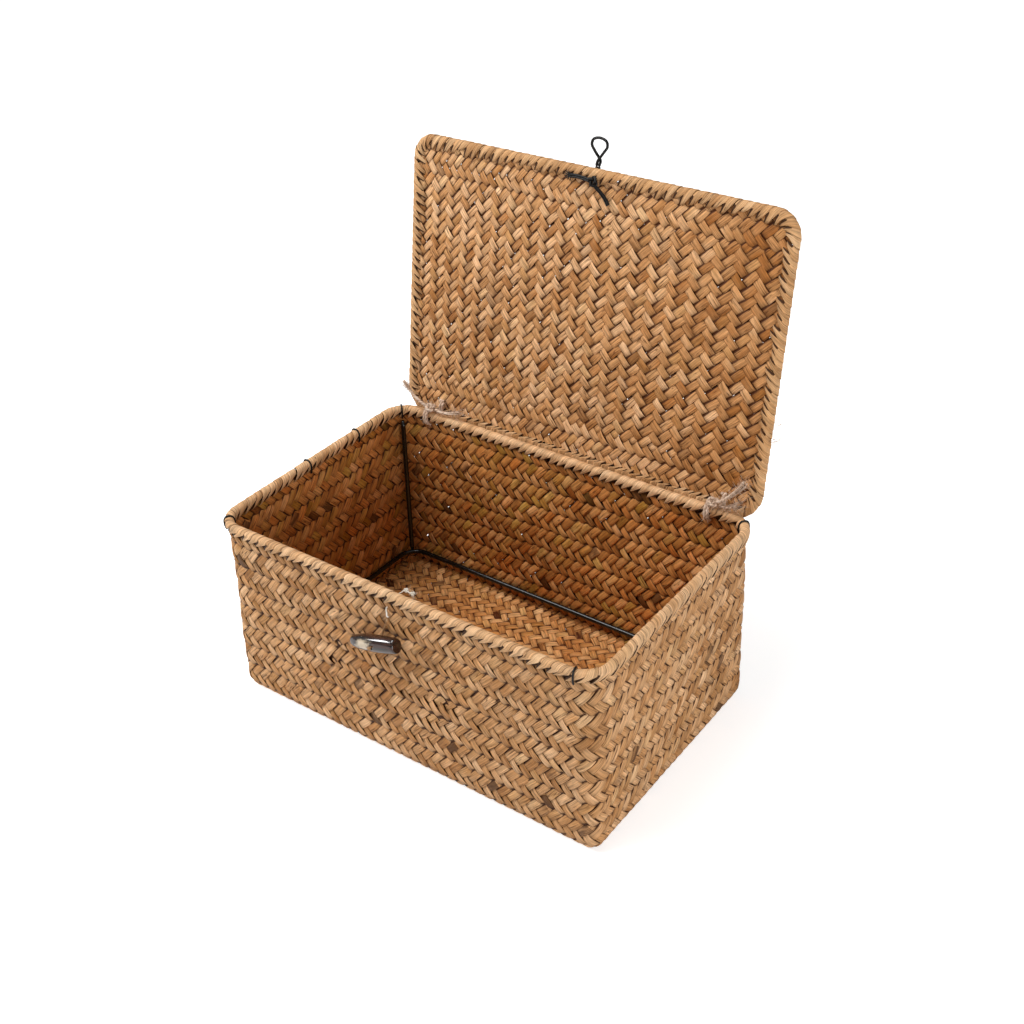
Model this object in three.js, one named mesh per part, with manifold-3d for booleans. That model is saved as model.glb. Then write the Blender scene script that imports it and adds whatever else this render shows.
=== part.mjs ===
// Woven seagrass box with a tied-on lid, standing open.
// Millimetres, +Z up, +X to the right, the front wall at -Y.
// The origin lies on the standing surface under the middle of the box.

import * as THREE from 'three';
import { mergeVertices } from 'three/addons/utils/BufferGeometryUtils.js';
import Module from 'manifold-3d';

const wasm = await Module();
wasm.setup();

// Box: the rim wire's centre line, and the woven shell that hangs from it and draws in downwards
const rimLength = 300;
const rimDepth = 192;
const rimHeight = 141;
const rimCornerRadius = 18;
const endTaper = 0.8;
const sideTaper = 2.3;
const baseCornerRadius = 6.5;
const weaveThickness = 3;
const collarHeight = 12;
const footRadius = 5;
const coveRadius = 8;

// Twill: the strips' floats stand in rows, which raise ribs round the walls. On the lid they stand in
// columns, with a band of rows at the hinge and at the front edge.
const wallRow = 8.8;
const wallGroove = 0.6;
const lidColumn = 7.1;
const lidRow = 8;
const lidRowBand = 26;
const lidGroove = 0.45;

// Frame of painted wire
const frameWire = 3.2;
const baseRingRadius = 14;
const baseRingLift = 3.5;
const clearance = 0.3;
const overrun = 2;

// Binding that wraps the rim: half width, height over the wire, and legs down the wall
const bindingHalfWidth = 3.4;
const bindingRise = 3.2;
const bindingLeg = 4.2;
const wrapPitch = 6.8;
const wrapSlant = 12;
const wrapDip = 0.5;

// Lid: how far it ends inside the rim's ends and how much deeper it is, edge wire, panel and binding
const lidEndInset = 1.5;
const lidOverhang = 12.8;
const lidCornerRadius = 14;
const lidWire = 2.4;
const panelThickness = 2.4;
const lidBindingHalf = 3;
const lidBindingLeg = 5.2;
const lidWrapPitch = 6.8;
const lidWrapSlant = 15;
const lidWrapDip = 0.42;

// Where the open lid's hinge wire lies from the rear rim wire, and how far the lid has turned
const lidBehindRim = 9.5;
const lidAboveRim = 1.2;
const lidOpenAngle = THREE.MathUtils.degToRad(98.26);

// Twine ties of the hinge
const twine = 1.6;
const twineTurns = 2;
const twinePitch = 2.05;
const knotRadius = 2.45;
const knotBulge = 1.05;
const knotSeat = 8.15;
const knotAngle = THREE.MathUtils.degToRad(104);
const leftTieInset = 31;
const rightTieInset = 30.5;

// Black closure cord on the lid's front edge
const cord = 1.3;
const cordX = 0;
const cordSpread = 1;
const cordKnotRadius = 2.1;
const cordKnotBulge = 0.95;
const cordHoleInset = 7.6;

// Toggle on the front wall, its cord, and the thread that holds them, each so far below the rim
const toggleLength = 44;
const toggleThickness = 10.4;
const toggleHeight = 11.8;
const toggleX = -8.5;
const toggleDrop = 35.5;
const toggleTilt = THREE.MathUtils.degToRad(17);
const toggleHole = 3.7;
const toggleBoreShare = 0.06;
const toggleCord = 1.2;
const thread = 0.9;
const stitchX = -2.5;
const stitchTopDrop = 5;
const stitchBottomDrop = 16.7;

// Black ties that hold the weave to the wire frame
const tieCord = 1.2;
const leftRimTies = [44, -8];
const frontRightTieShift = 10;

// Facets
const cornerSteps = 6;
const wireSides = 8;
const twineSides = 6;

const baseLength = rimLength - 2 * endTaper;
const baseDepth = rimDepth - 2 * sideTaper;
const lidLength = rimLength - 2 * lidEndInset;
const lidDepth = rimDepth + lidOverhang;
const leftTieX = leftTieInset - rimLength / 2;
const rightTieX = rimLength / 2 - rightTieInset;
const toggleZ = rimHeight - toggleDrop;
const stitchTop = rimHeight - stitchTopDrop;
const stitchBottom = rimHeight - stitchBottomDrop;
const wireRadius = frameWire / 2;
const lidWireRadius = lidWire / 2;
const channelHalf = wireRadius + clearance;
const lidChannelHalf = Math.max(lidWireRadius, panelThickness / 2) + clearance;
const wallTop = rimHeight - wireRadius - clearance;
const collarBottom = rimHeight - collarHeight;
const floorTop = weaveThickness;
const lidWireHalfX = lidLength / 2 - lidBindingHalf;
const lidWireHalfY = lidDepth / 2 - lidBindingHalf;
const lidWireCornerRadius = lidCornerRadius - lidBindingHalf;
const lidSpan = 2 * lidWireHalfY;
const rearRim = rimDepth / 2;
const frontRim = -rimDepth / 2;

// A rounded rectangle round the Z axis, run counterclockwise by its length from the front side
function roundedLoop(halfX, halfY, radius) {
  const sides = [2 * (halfX - radius), 2 * (halfY - radius)];
  const arc = radius * Math.PI / 2;
  const length = 2 * (sides[0] + sides[1]) + 4 * arc;
  const corners = [[1, -1], [1, 1], [-1, 1], [-1, -1]];
  function at(distance) {
    let s = THREE.MathUtils.euclideanModulo(distance, length);
    for (let side = 0; side < 4; side += 1) {
      const straight = sides[side % 2];
      const heading = side * Math.PI / 2;
      const out = new THREE.Vector2(Math.sin(heading), -Math.cos(heading));
      const along = new THREE.Vector2(Math.cos(heading), Math.sin(heading));
      const [cornerX, cornerY] = corners[side];
      const centre = new THREE.Vector2(cornerX * (halfX - radius), cornerY * (halfY - radius));
      if (s <= straight) {
        const point = centre.clone().addScaledVector(out, radius).addScaledVector(along, s - straight);
        return { point, out };
      }
      s -= straight;
      if (s <= arc) {
        const turn = heading + s / radius;
        const normal = new THREE.Vector2(Math.sin(turn), -Math.cos(turn));
        return { point: centre.clone().addScaledVector(normal, radius), out: normal };
      }
      s -= arc;
    }
    return at(0);
  }
  // Lengths at the ends of each corner and at even steps round it
  const stations = [];
  let start = 0;
  for (let side = 0; side < 4; side += 1) {
    start += sides[side % 2];
    for (let k = 0; k <= cornerSteps; k += 1) stations.push(start + arc * k / cornerSteps);
    start += arc;
  }
  return { length, at, stations };
}

// A closed skin over rings of points: the ends are joined to each other, or capped flat
function loft(rings, joined) {
  const count = rings[0].length;
  const positions = rings.flat().flatMap((p) => [p.x, p.y, p.z]);
  const index = [];
  const last = joined ? rings.length : rings.length - 1;
  for (let i = 0; i < last; i += 1) {
    const a = i * count;
    const b = ((i + 1) % rings.length) * count;
    for (let k = 0; k < count; k += 1) {
      const next = (k + 1) % count;
      index.push(a + k, a + next, b + next, a + k, b + next, b + k);
    }
  }
  if (!joined) {
    const end = (rings.length - 1) * count;
    for (let k = 1; k < count - 1; k += 1) {
      index.push(0, k + 1, k, end, end + k, end + k + 1);
    }
  }
  const geometry = new THREE.BufferGeometry();
  geometry.setAttribute('position', new THREE.Float32BufferAttribute(positions, 3));
  geometry.setIndex(index);
  return facingOut(geometry);
}

function signedVolume(geometry) {
  const p = geometry.getAttribute('position');
  const corners = [new THREE.Vector3(), new THREE.Vector3(), new THREE.Vector3()];
  let six = 0;
  for (let i = 0; i < geometry.index.count; i += 3) {
    corners.forEach((corner, k) => corner.fromBufferAttribute(p, geometry.index.getX(i + k)));
    six += corners[0].dot(corners[1].clone().cross(corners[2]));
  }
  return six / 6;
}

function facingOut(geometry) {
  if (signedVolume(geometry) < 0) {
    const order = geometry.index.array;
    for (let i = 0; i < order.length; i += 3) [order[i], order[i + 1]] = [order[i + 1], order[i]];
  }
  return geometry;
}

// Only positions, with shared corners merged
function welded(geometry) {
  const bare = geometry.clone();
  bare.deleteAttribute('normal');
  bare.deleteAttribute('uv');
  return mergeVertices(bare, 1e-4);
}

function toManifold(geometry) {
  const closed = welded(geometry);
  return new wasm.Manifold(new wasm.Mesh({
    numProp: 3,
    vertProperties: new Float32Array(closed.getAttribute('position').array),
    triVerts: new Uint32Array(closed.index.array),
  }));
}

function cutBy(geometry, cutters) {
  let body = toManifold(geometry);
  for (const cutter of cutters) body = body.subtract(toManifold(cutter));
  const mesh = body.getMesh();
  const result = new THREE.BufferGeometry();
  result.setAttribute('position', new THREE.Float32BufferAttribute(mesh.vertProperties, 3));
  result.setIndex(Array.from(mesh.triVerts));
  return result;
}

function block(sizeX, sizeY, sizeZ, centre) {
  return new THREE.BoxGeometry(sizeX, sizeY, sizeZ).translate(centre.x, centre.y, centre.z);
}

// A round bar along Y, for bores through a wall
function borer(radius, length, centre) {
  return new THREE.CylinderGeometry(radius, radius, length, wireSides).translate(centre.x, centre.y, centre.z);
}

function roundSection(radius, sides) {
  const points = [];
  for (let k = 0; k < sides; k += 1) {
    const turn = 2 * Math.PI * k / sides;
    points.push(new THREE.Vector2(radius * Math.cos(turn), radius * Math.sin(turn)));
  }
  return points;
}

// A round bar or cord along a smooth line through the given points
function cordAlong(points, diameter, sides, steps) {
  const path = new THREE.CatmullRomCurve3(points, false, 'centripetal');
  const section = new THREE.Shape(roundSection(diameter / 2, sides));
  return new THREE.ExtrudeGeometry(section, { steps, extrudePath: path, bevelEnabled: false, curveSegments: 1 });
}

// A cord that closes on itself
function closedCord(points, diameter, sides, steps) {
  const path = new THREE.CatmullRomCurve3(points, true, 'catmullrom');
  const frames = path.computeFrenetFrames(steps, true);
  const section = roundSection(diameter / 2, sides);
  const rings = [];
  for (let i = 0; i < steps; i += 1) {
    const centre = path.getPointAt(i / steps);
    rings.push(section.map((p) => centre.clone()
      .addScaledVector(frames.normals[i], p.x)
      .addScaledVector(frames.binormals[i], p.y)));
  }
  return loft(rings, true);
}

// The least gap between stretches of one cord that are further apart along it than a half turn
function printLeastGap(name, points, diameter, apart, joined) {
  const fine = new THREE.CatmullRomCurve3(points, joined, joined ? 'catmullrom' : 'centripetal').getSpacedPoints(400);
  const long = fine.slice(1).reduce((sum, p, i) => sum + p.distanceTo(fine[i]), 0);
  const step = long / 400;
  let least = Infinity;
  for (let i = 0; i < fine.length; i += 1) {
    for (let j = i + 1; j < fine.length; j += 1) {
      const between = (j - i) * step;
      const way = joined ? Math.min(between, long - between) : between;
      if (way > apart) least = Math.min(least, fine[i].distanceTo(fine[j]));
    }
  }
  console.log(`${name}: least gap to itself ${(least - diameter).toFixed(2)} mm`);
}

// A profile of [out, up] points carried round a loop at its corner stations
function sweptRing(profile, loop, place) {
  return loft(loop.stations.map((s) => {
    const { point, out } = loop.at(s);
    return profile.map(([outward, up]) => place(point, out, outward, up));
  }), true);
}

// Triangles between two closed rows of corners that were set at different shares of one loop.
// A row is a list of { at, share }, where at is the corner's number.
function stitchRows(rowA, rowB) {
  const start = rowA[0].share;
  const unrolled = (row) => {
    const set = row.map(({ at, share }) => ({ at, share: THREE.MathUtils.euclideanModulo(share - start, 1) }));
    set.sort((p, q) => p.share - q.share);
    return [...set, { at: set[0].at, share: set[0].share + 1 }];
  };
  const a = unrolled(rowA);
  const b = unrolled(rowB);
  const index = [];
  let i = 0;
  let j = 0;
  while (i < a.length - 1 || j < b.length - 1) {
    const takeB = i === a.length - 1 || (j < b.length - 1 && b[j + 1].share < a[i + 1].share);
    if (takeB) {
      index.push(a[i].at, b[j].at, b[j + 1].at);
      j += 1;
    } else {
      index.push(a[i].at, b[j].at, a[i + 1].at);
      i += 1;
    }
  }
  return index;
}

// Strips wound side by side round an edge. Each wrap climbs out from under the one before it.
// The section's points are [out, up, lead], and lead slants the strip along the edge.
// The channel's points are [out, up], and they run on from the section's last point to its first.
function boundEdge(section, channel, loop, place, pitch, slant, dip) {
  const wraps = Math.round(loop.length / pitch);
  const step = loop.length / wraps;
  const climbShare = 0.28;
  const positions = [];
  const corner = (distance, outward, up) => {
    const { point, out } = loop.at(distance);
    const p = place(point, out, outward, up);
    positions.push(p.x, p.y, p.z);
    return { at: positions.length / 3 - 1, share: distance / loop.length };
  };
  const strips = [];
  for (let i = 0; i < wraps; i += 1) {
    for (const [phase, sunk] of [[0, dip], [climbShare, 0]]) {
      strips.push(section.map(([outward, up, lead]) => {
        const share = 1 - sunk / Math.hypot(outward, up);
        return corner((i + phase) * step + lead * slant, outward * share, up * share);
      }));
    }
  }
  const inside = loop.stations.map((s) => channel.map(([outward, up]) => corner(s, outward, up)));
  const index = [];
  for (const rows of [strips, inside]) {
    rows.forEach((row, i) => {
      const next = rows[(i + 1) % rows.length];
      for (let k = 0; k < row.length - 1; k += 1) {
        index.push(row[k].at, row[k + 1].at, next[k + 1].at, row[k].at, next[k + 1].at, next[k].at);
      }
    });
  }
  const last = (rows) => rows.map((row) => row[row.length - 1]);
  const first = (rows) => rows.map((row) => row[0]);
  index.push(...stitchRows(last(strips), first(inside)), ...stitchRows(last(inside), first(strips)));
  const geometry = new THREE.BufferGeometry();
  geometry.setAttribute('position', new THREE.Float32BufferAttribute(positions, 3));
  geometry.setIndex(index);
  return facingOut(geometry);
}

// Points of a stadium that runs round a bound edge: radius round the wire, and legs of length drop
function stadiumPoint(share, radius, drop) {
  const half = Math.PI * radius;
  const total = 2 * half + 2 * drop;
  let s = THREE.MathUtils.euclideanModulo(share, 1) * total;
  if (s <= half) {
    const turn = s / radius;
    return new THREE.Vector2(radius * Math.cos(turn), radius * Math.sin(turn));
  }
  s -= half;
  if (s <= drop) return new THREE.Vector2(-radius, -s);
  s -= drop;
  if (s <= half) {
    const turn = Math.PI + s / radius;
    return new THREE.Vector2(radius * Math.cos(turn), -drop + radius * Math.sin(turn));
  }
  s -= half;
  return new THREE.Vector2(radius, s - drop);
}

// Turns of twine round a bound edge, as points in [across, over] of the edge and along X
function windingPoints(centreX, radius, drop, turns, pitch, startShare, place) {
  const perTurn = 24;
  const points = [];
  for (let i = 0; i <= turns * perTurn; i += 1) {
    const p = stadiumPoint(startShare + i / perTurn, radius, drop);
    points.push(place(centreX + (i / perTurn - turns / 2) * pitch, p.x, p.y));
  }
  return points;
}

// An overhand knot drawn up round, with its flat sides along the given normal
function knotPoints(centre, normal, radius, bulge) {
  const turnToNormal = new THREE.Quaternion().setFromUnitVectors(new THREE.Vector3(0, 0, 1), normal);
  const points = [];
  const count = 36;
  for (let i = 0; i < count; i += 1) {
    const t = 2 * Math.PI * i / count;
    const reach = radius + bulge * Math.cos(3 * t);
    const p = new THREE.Vector3(reach * Math.cos(2 * t), reach * Math.sin(2 * t), bulge * Math.sin(3 * t));
    points.push(p.applyQuaternion(turnToNormal).add(centre));
  }
  return points;
}

const onRim = (point, out, outward, up) => new THREE.Vector3(
  point.x + out.x * outward, point.y + out.y * outward, rimHeight + up);
const onLid = (point, out, outward, up) => new THREE.Vector3(
  point.x + out.x * outward, point.y + out.y * outward - lidWireHalfY, up);

const rimLoop = roundedLoop(rimLength / 2, rimDepth / 2, rimCornerRadius);
const lidLoop = roundedLoop(lidWireHalfX, lidWireHalfY, lidWireCornerRadius);

// Woven shell: floor, foot and four walls in one piece
function wallRing(height, inset) {
  const share = THREE.MathUtils.clamp(height / collarBottom, 0, 1);
  const halfX = THREE.MathUtils.lerp(baseLength, rimLength, share) / 2;
  const halfY = THREE.MathUtils.lerp(baseDepth, rimDepth, share) / 2;
  const radius = THREE.MathUtils.lerp(baseCornerRadius, rimCornerRadius, share);
  const loop = roundedLoop(halfX, halfY, radius);
  return loop.stations.map((s) => {
    const { point, out } = loop.at(s);
    return new THREE.Vector3(point.x + out.x * inset, point.y + out.y * inset, height);
  });
}

function levelled(ring, height) {
  return ring.map((p) => new THREE.Vector3(p.x, p.y, height));
}

// The ring shrunk by the same width all round, kept in its own outline
function shrunk(ring, width) {
  const box = new THREE.Box3().setFromPoints(ring);
  const scaleX = 1 - width / box.max.x;
  const scaleY = 1 - width / box.max.y;
  return ring.map((p) => new THREE.Vector3(p.x * scaleX, p.y * scaleY, p.z));
}

function basketShell() {
  const half = weaveThickness / 2;
  const turnSteps = 5;
  const levels = 3;
  const ribTop = rimHeight - bindingLeg;
  const rows = Math.round((ribTop - footRadius) / wallRow);
  const atRow = (row) => THREE.MathUtils.lerp(footRadius, ribTop, row / rows);
  const rings = [];
  for (let k = 0; k <= turnSteps; k += 1) {
    const turn = Math.PI / 2 * k / turnSteps;
    const height = footRadius * (1 - Math.cos(turn));
    rings.push(levelled(shrunk(wallRing(height, half), footRadius * (1 - Math.sin(turn))), height));
  }
  for (let row = 0; row < rows; row += 1) {
    if (row > 0) rings.push(wallRing(atRow(row), half - wallGroove));
    rings.push(wallRing(atRow(row + 0.5), half));
  }
  rings.push(wallRing(wallTop, half));
  rings.push(wallRing(wallTop, -half));
  const coveTop = floorTop + coveRadius;
  for (let k = levels; k >= 1; k -= 1) {
    rings.push(wallRing(THREE.MathUtils.lerp(coveTop, collarBottom, k / levels), -half));
  }
  for (let k = turnSteps; k >= 0; k -= 1) {
    const turn = Math.PI / 2 * k / turnSteps;
    const height = floorTop + coveRadius * (1 - Math.cos(turn));
    rings.push(levelled(shrunk(wallRing(height, -half), coveRadius * (1 - Math.sin(turn))), height));
  }
  return loft(rings, false);
}

// The furthest that a bound edge's section reaches from its wire, above the legs
function sectionReach(profile) {
  return Math.max(...profile.filter(([, , lead]) => Math.abs(lead) < 0.5).map(([a, b]) => Math.hypot(a, b)));
}

// Rim binding's section as [out, up, lead]
const shoulderShare = 0.5;
const sideShare = 0.28;
const rimSection = [
  [bindingHalfWidth, -bindingLeg, -0.5],
  [bindingHalfWidth, bindingRise * sideShare, -0.22],
  [bindingHalfWidth * shoulderShare, bindingRise, -0.08],
  [-bindingHalfWidth * shoulderShare, bindingRise, 0.08],
  [-bindingHalfWidth, bindingRise * sideShare, 0.22],
  [-bindingHalfWidth, -bindingLeg, 0.5],
];

// Lid binding's section: its legs run inwards over both faces of the panel
const lidSideShare = 0.2;
const lidSection = [
  [-lidBindingLeg, -lidBindingHalf, -0.5],
  [lidBindingHalf * lidSideShare, -lidBindingHalf, -0.22],
  [lidBindingHalf, -lidBindingHalf * shoulderShare, -0.08],
  [lidBindingHalf, lidBindingHalf * shoulderShare, 0.08],
  [lidBindingHalf * lidSideShare, lidBindingHalf, 0.22],
  [-lidBindingLeg, lidBindingHalf, 0.5],
];

// Twine passes through the wall under the rim binding, and the toggle's cord and thread in front
const rimReach = sectionReach(rimSection);
const rimTurnRadius = rimReach + clearance + twine / 2;
const rimTurnDrop = bindingLeg - Math.sqrt(rimReach ** 2 - bindingHalfWidth ** 2);
const twineHoleHeight = rimHeight - rimTurnDrop - rimTurnRadius;
const holeMargin = 2 * clearance;
const turnsGap = twineTurns * twinePitch + twine + clearance;

function twineHole(tieX) {
  const width = twineTurns * twinePitch + twine + holeMargin;
  const height = twine + 2 * holeMargin;
  const centre = new THREE.Vector3(tieX - turnsGap / 2, rearRim, twineHoleHeight);
  return block(width, weaveThickness + 2 * overrun, height, centre);
}

function wallFace(height) {
  const share = THREE.MathUtils.clamp(height / collarBottom, 0, 1);
  return -THREE.MathUtils.lerp(baseDepth, rimDepth, share) / 2 - weaveThickness / 2;
}

const pivotZ = stitchBottom - thread / 2 - clearance - toggleCord / 2;
const pivotY = wallFace(pivotZ) - clearance - toggleCord / 2;

function threadHole(x, z) {
  const bore = thread / 2 + 2 * clearance;
  const middle = wallFace(z) + weaveThickness / 2;
  return borer(bore, weaveThickness + 2 * overrun, new THREE.Vector3(x, middle, z));
}

function basketShellCut() {
  return cutBy(basketShell(), [
    twineHole(leftTieX),
    twineHole(rightTieX),
    threadHole(stitchX, stitchTop - bindingLeg),
    threadHole(stitchX, stitchBottom),
  ]);
}

// Rim: the wire ring, and the strips wrapped round it and the top of the wall
function rimBinding() {
  const channel = [
    [-channelHalf, -bindingLeg],
    [-channelHalf, channelHalf],
    [channelHalf, channelHalf],
    [channelHalf, -bindingLeg],
  ];
  return boundEdge(rimSection, channel, rimLoop, onRim, wrapPitch, wrapSlant, wrapDip);
}

function ringWire(loop, diameter, place) {
  const section = roundSection(diameter / 2, wireSides).map((p) => [p.x, p.y]);
  return sweptRing(section, loop, place);
}

// Base ring: it lies along the walls, a little over their hollow turn into the floor
const baseRingZ = floorTop + coveRadius + baseRingLift;
const baseRingInset = weaveThickness / 2 + clearance + wireRadius;
const baseRingHalfX = baseLength / 2 - baseRingInset;
const baseRingHalfY = baseDepth / 2 - baseRingInset;

function baseRing() {
  const loop = roundedLoop(baseRingHalfX, baseRingHalfY, baseRingRadius);
  const place = (point, out, outward, up) => new THREE.Vector3(
    point.x + out.x * outward, point.y + out.y * outward, baseRingZ + up);
  return ringWire(loop, frameWire, place);
}

// Corner posts stand on the base ring's corners and lean on the walls' corners under the rim
const postTop = rimHeight - bindingLeg - 3 * tieCord;

function cornerPoint(halfX, halfY, radius, signX, signY) {
  const inset = radius * (1 - Math.SQRT1_2);
  return new THREE.Vector2(signX * (halfX - inset), signY * (halfY - inset));
}

function cornerPost(signX, signY) {
  const foot = cornerPoint(baseRingHalfX, baseRingHalfY, baseRingRadius, signX, signY);
  const head = cornerPoint(rimLength / 2, rimDepth / 2, rimCornerRadius, signX, signY);
  const inward = weaveThickness / 2 + clearance + wireRadius;
  head.x -= signX * inward * Math.SQRT1_2;
  head.y -= signY * inward * Math.SQRT1_2;
  return cordAlong([
    new THREE.Vector3(foot.x, foot.y, baseRingZ + wireRadius + clearance),
    new THREE.Vector3(head.x, head.y, postTop),
  ], frameWire, wireSides, 1);
}

// The corner at b between two straight runs a-b and b-c, moved out by a gap to the right of the way
function mitred([ax, ay], [bx, by], [cx, cy], gap) {
  const first = new THREE.Vector2(by - ay, ax - bx).normalize();
  const second = new THREE.Vector2(cy - by, bx - cx).normalize();
  const bisector = first.clone().add(second).normalize();
  const reach = gap / bisector.dot(first);
  return [bx + bisector.x * reach, by + bisector.y * reach];
}

// A tie is a staple of cord over the binding, and its ends go into the weave below it
function rimTie(distance) {
  const { point, out } = rimLoop.at(distance);
  const off = 1.8 * clearance + tieCord / 2;
  const over = rimSection.slice(1, -1).map((p, i) => mitred(rimSection[i], p, rimSection[i + 2], off));
  const footUp = -bindingLeg - off;
  const endOut = weaveThickness / 2 + off;
  const outer = [[endOut, footUp - tieCord], [bindingHalfWidth + off, footUp + tieCord]];
  const inner = outer.slice().reverse().map(([a, b]) => [-a, b]);
  const points = [...outer, ...over, ...inner].map(([outward, up]) => onRim(point, out, outward, up));
  return cordAlong(points, tieCord, twineSides, 16);
}

// Distance along the rim loop of the middle of each corner, and of places on the left side
function cornerDistance(number) {
  const sides = [rimLength - 2 * rimCornerRadius, rimDepth - 2 * rimCornerRadius];
  const arc = rimCornerRadius * Math.PI / 2;
  let distance = -arc / 2;
  for (let k = 0; k <= number; k += 1) distance += sides[k % 2] + arc;
  return distance;
}

function leftSideDistance(y) {
  return rimLoop.length - rimCornerRadius * Math.PI / 2 - (y - frontRim - rimCornerRadius);
}

// Lid: edge wire, woven panel and wrapped binding, drawn closed with the hinge wire on the X axis

// A comb that cuts grooves side by side into the panel's outer face, across a width along X
function grooveComb(width, pitch, length) {
  const crest = -lidGroove / 10;
  const count = Math.round(width / pitch);
  const teeth = new THREE.Shape();
  teeth.moveTo(width / 2, overrun);
  teeth.lineTo(-width / 2, overrun);
  for (let k = 0; k < count; k += 1) {
    teeth.lineTo(width * (k / count - 0.5), crest);
    teeth.lineTo(width * ((k + 0.5) / count - 0.5), -lidGroove);
  }
  teeth.lineTo(width / 2, crest);
  const comb = new THREE.ExtrudeGeometry(teeth, { depth: length, bevelEnabled: false });
  comb.translate(0, panelThickness / 2, -length / 2);
  comb.rotateX(Math.PI / 2);
  return comb;
}

function lidGrooves() {
  const width = 2 * (lidWireHalfX - lidBindingLeg);
  const middle = lidSpan - 2 * lidRowBand;
  const bandDepth = lidRowBand - lidBindingLeg;
  const columns = grooveComb(width, lidColumn, middle);
  columns.translate(0, -lidSpan / 2, 0);
  const bands = [lidBindingLeg, lidSpan - lidRowBand].map((start) => {
    const band = grooveComb(bandDepth, lidRow, width);
    band.rotateZ(Math.PI / 2);
    band.translate(0, -start - bandDepth / 2, 0);
    return band;
  });
  return [columns, ...bands].flatMap((comb) => [comb, comb.clone().rotateY(Math.PI)]);
}

function lidPanel() {
  const inset = lidWireRadius + clearance;
  const loop = roundedLoop(lidWireHalfX - inset, lidWireHalfY - inset, lidWireCornerRadius - inset);
  const outline = new THREE.Shape(loop.stations.map((s) => loop.at(s).point));
  const slab = new THREE.ExtrudeGeometry(outline, { depth: panelThickness, bevelEnabled: false });
  slab.translate(0, -lidWireHalfY, -panelThickness / 2);
  const slotDepth = panelThickness + 2 * overrun;
  const holes = [leftTieX, rightTieX].map((x) => block(
    twineTurns * twinePitch + twine + holeMargin, twine + 2 * holeMargin, slotDepth,
    new THREE.Vector3(x + turnsGap / 2, -lidTurnDrop - lidTurnRadius, 0)));
  holes.push(block(
    2 * cordSpread + cord + holeMargin, cord + holeMargin, slotDepth,
    new THREE.Vector3(cordX, -lidSpan + cordHoleInset, 0)));
  return cutBy(slab, [...holes, ...lidGrooves()]);
}

function lidBinding() {
  const channel = [
    [-lidBindingLeg, lidChannelHalf],
    [lidChannelHalf, lidChannelHalf],
    [lidChannelHalf, -lidChannelHalf],
    [-lidBindingLeg, -lidChannelHalf],
  ];
  return boundEdge(lidSection, channel, lidLoop, onLid, lidWrapPitch, lidWrapSlant, lidWrapDip);
}

// Twine turns: two round the rim and two round the lid's edge, side by side
const lidReach = sectionReach(lidSection);
const lidTurnRadius = lidReach + clearance + twine / 2;
const lidTurnDrop = lidBindingLeg - Math.sqrt(lidReach ** 2 - lidBindingHalf ** 2);

function rimTurns(name, tieX) {
  const startShare = 0.16;
  const points = windingPoints(tieX - turnsGap / 2, rimTurnRadius, rimTurnDrop, twineTurns, twinePitch, startShare,
    (x, across, over) => new THREE.Vector3(x, rearRim + across, rimHeight + over));
  printLeastGap(name, points, twine, Math.PI * rimTurnRadius, false);
  return cordAlong(points, twine, twineSides, 20 * twineTurns);
}

function lidTurns(name, tieX) {
  const startShare = 0.62;
  const points = windingPoints(tieX + turnsGap / 2, lidTurnRadius, lidTurnDrop, twineTurns, twinePitch, startShare,
    (x, across, over) => new THREE.Vector3(x, over, across));
  printLeastGap(name, points, twine, Math.PI * lidTurnRadius, false);
  return cordAlong(points, twine, twineSides, 20 * twineTurns);
}

function tieKnot(name, tieX) {
  const normal = new THREE.Vector3(0, Math.cos(knotAngle), Math.sin(knotAngle));
  const centre = new THREE.Vector3(tieX, rearRim, rimHeight).addScaledVector(normal, knotSeat);
  const points = knotPoints(centre, normal, knotRadius, knotBulge);
  printLeastGap(name, points, twine, Math.PI * knotRadius, true);
  return closedCord(points, twine, twineSides, 48);
}

// The twine's loose ends, as points from the rim wire beside the knot
const leftOuterTail = [
  [-4.15, -2.0, 8.1], [-9, -2.0, 10.0], [-15, -1.2, 12.4], [-20.5, -0.2, 15.8], [-25.4, 0.6, 20.2],
];
const leftInnerTail = [
  [4.75, -2.4, 7.7], [10, -1.8, 6.4], [16, -0.8, 7.0], [20.5, -0.2, 8.6], [25, 0.4, 9.8],
];
const rightOuterTail = [
  [3.5, -3.3, 9.4], [7.5, -2.7, 12.5], [11.5, -2.4, 18.5], [15.5, -2.2, 25.0], [19.5, -2.4, 31.0],
];
const rightInnerTail = [
  [4.75, -2.2, 7.6], [8.5, -2.0, 6.6], [12, -1.2, 7.4], [15.5, -0.4, 9.4],
];

function tail(tieX, route) {
  const points = route.map(([x, y, z]) => new THREE.Vector3(tieX + x, rearRim + y, rimHeight + z));
  return cordAlong(points, twine, twineSides, 10);
}

// Closure cord: leads through the lid, the free loop beyond its edge, and the knot and ends inside.
// Points are [x, beyond the edge wire, up from the lid's middle plane].
const onFrontEdge = ([x, beyond, up]) => new THREE.Vector3(cordX + x, -lidSpan - beyond, up);
const cordOff = clearance + cord / 2;
const cordUp = lidBindingHalf + cordOff;
const cordPivot = lidBindingHalf + cordOff;

function cordLead(side) {
  const x = side * cordSpread;
  const hole = -cordHoleInset;
  const legCorner = -lidBindingLeg - cordOff;
  return cordAlong([
    [x, hole, -lidBindingHalf],
    [x, hole, 0],
    [x, hole, lidBindingHalf * 0.7],
    [x, legCorner, cordUp],
    [x, -lidBindingLeg / 2, cordUp],
    [x, 0, cordUp],
    [x, cordPivot - cord / 2 - clearance / 2, cordUp],
  ].map(onFrontEdge), cord, twineSides, 16);
}

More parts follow.
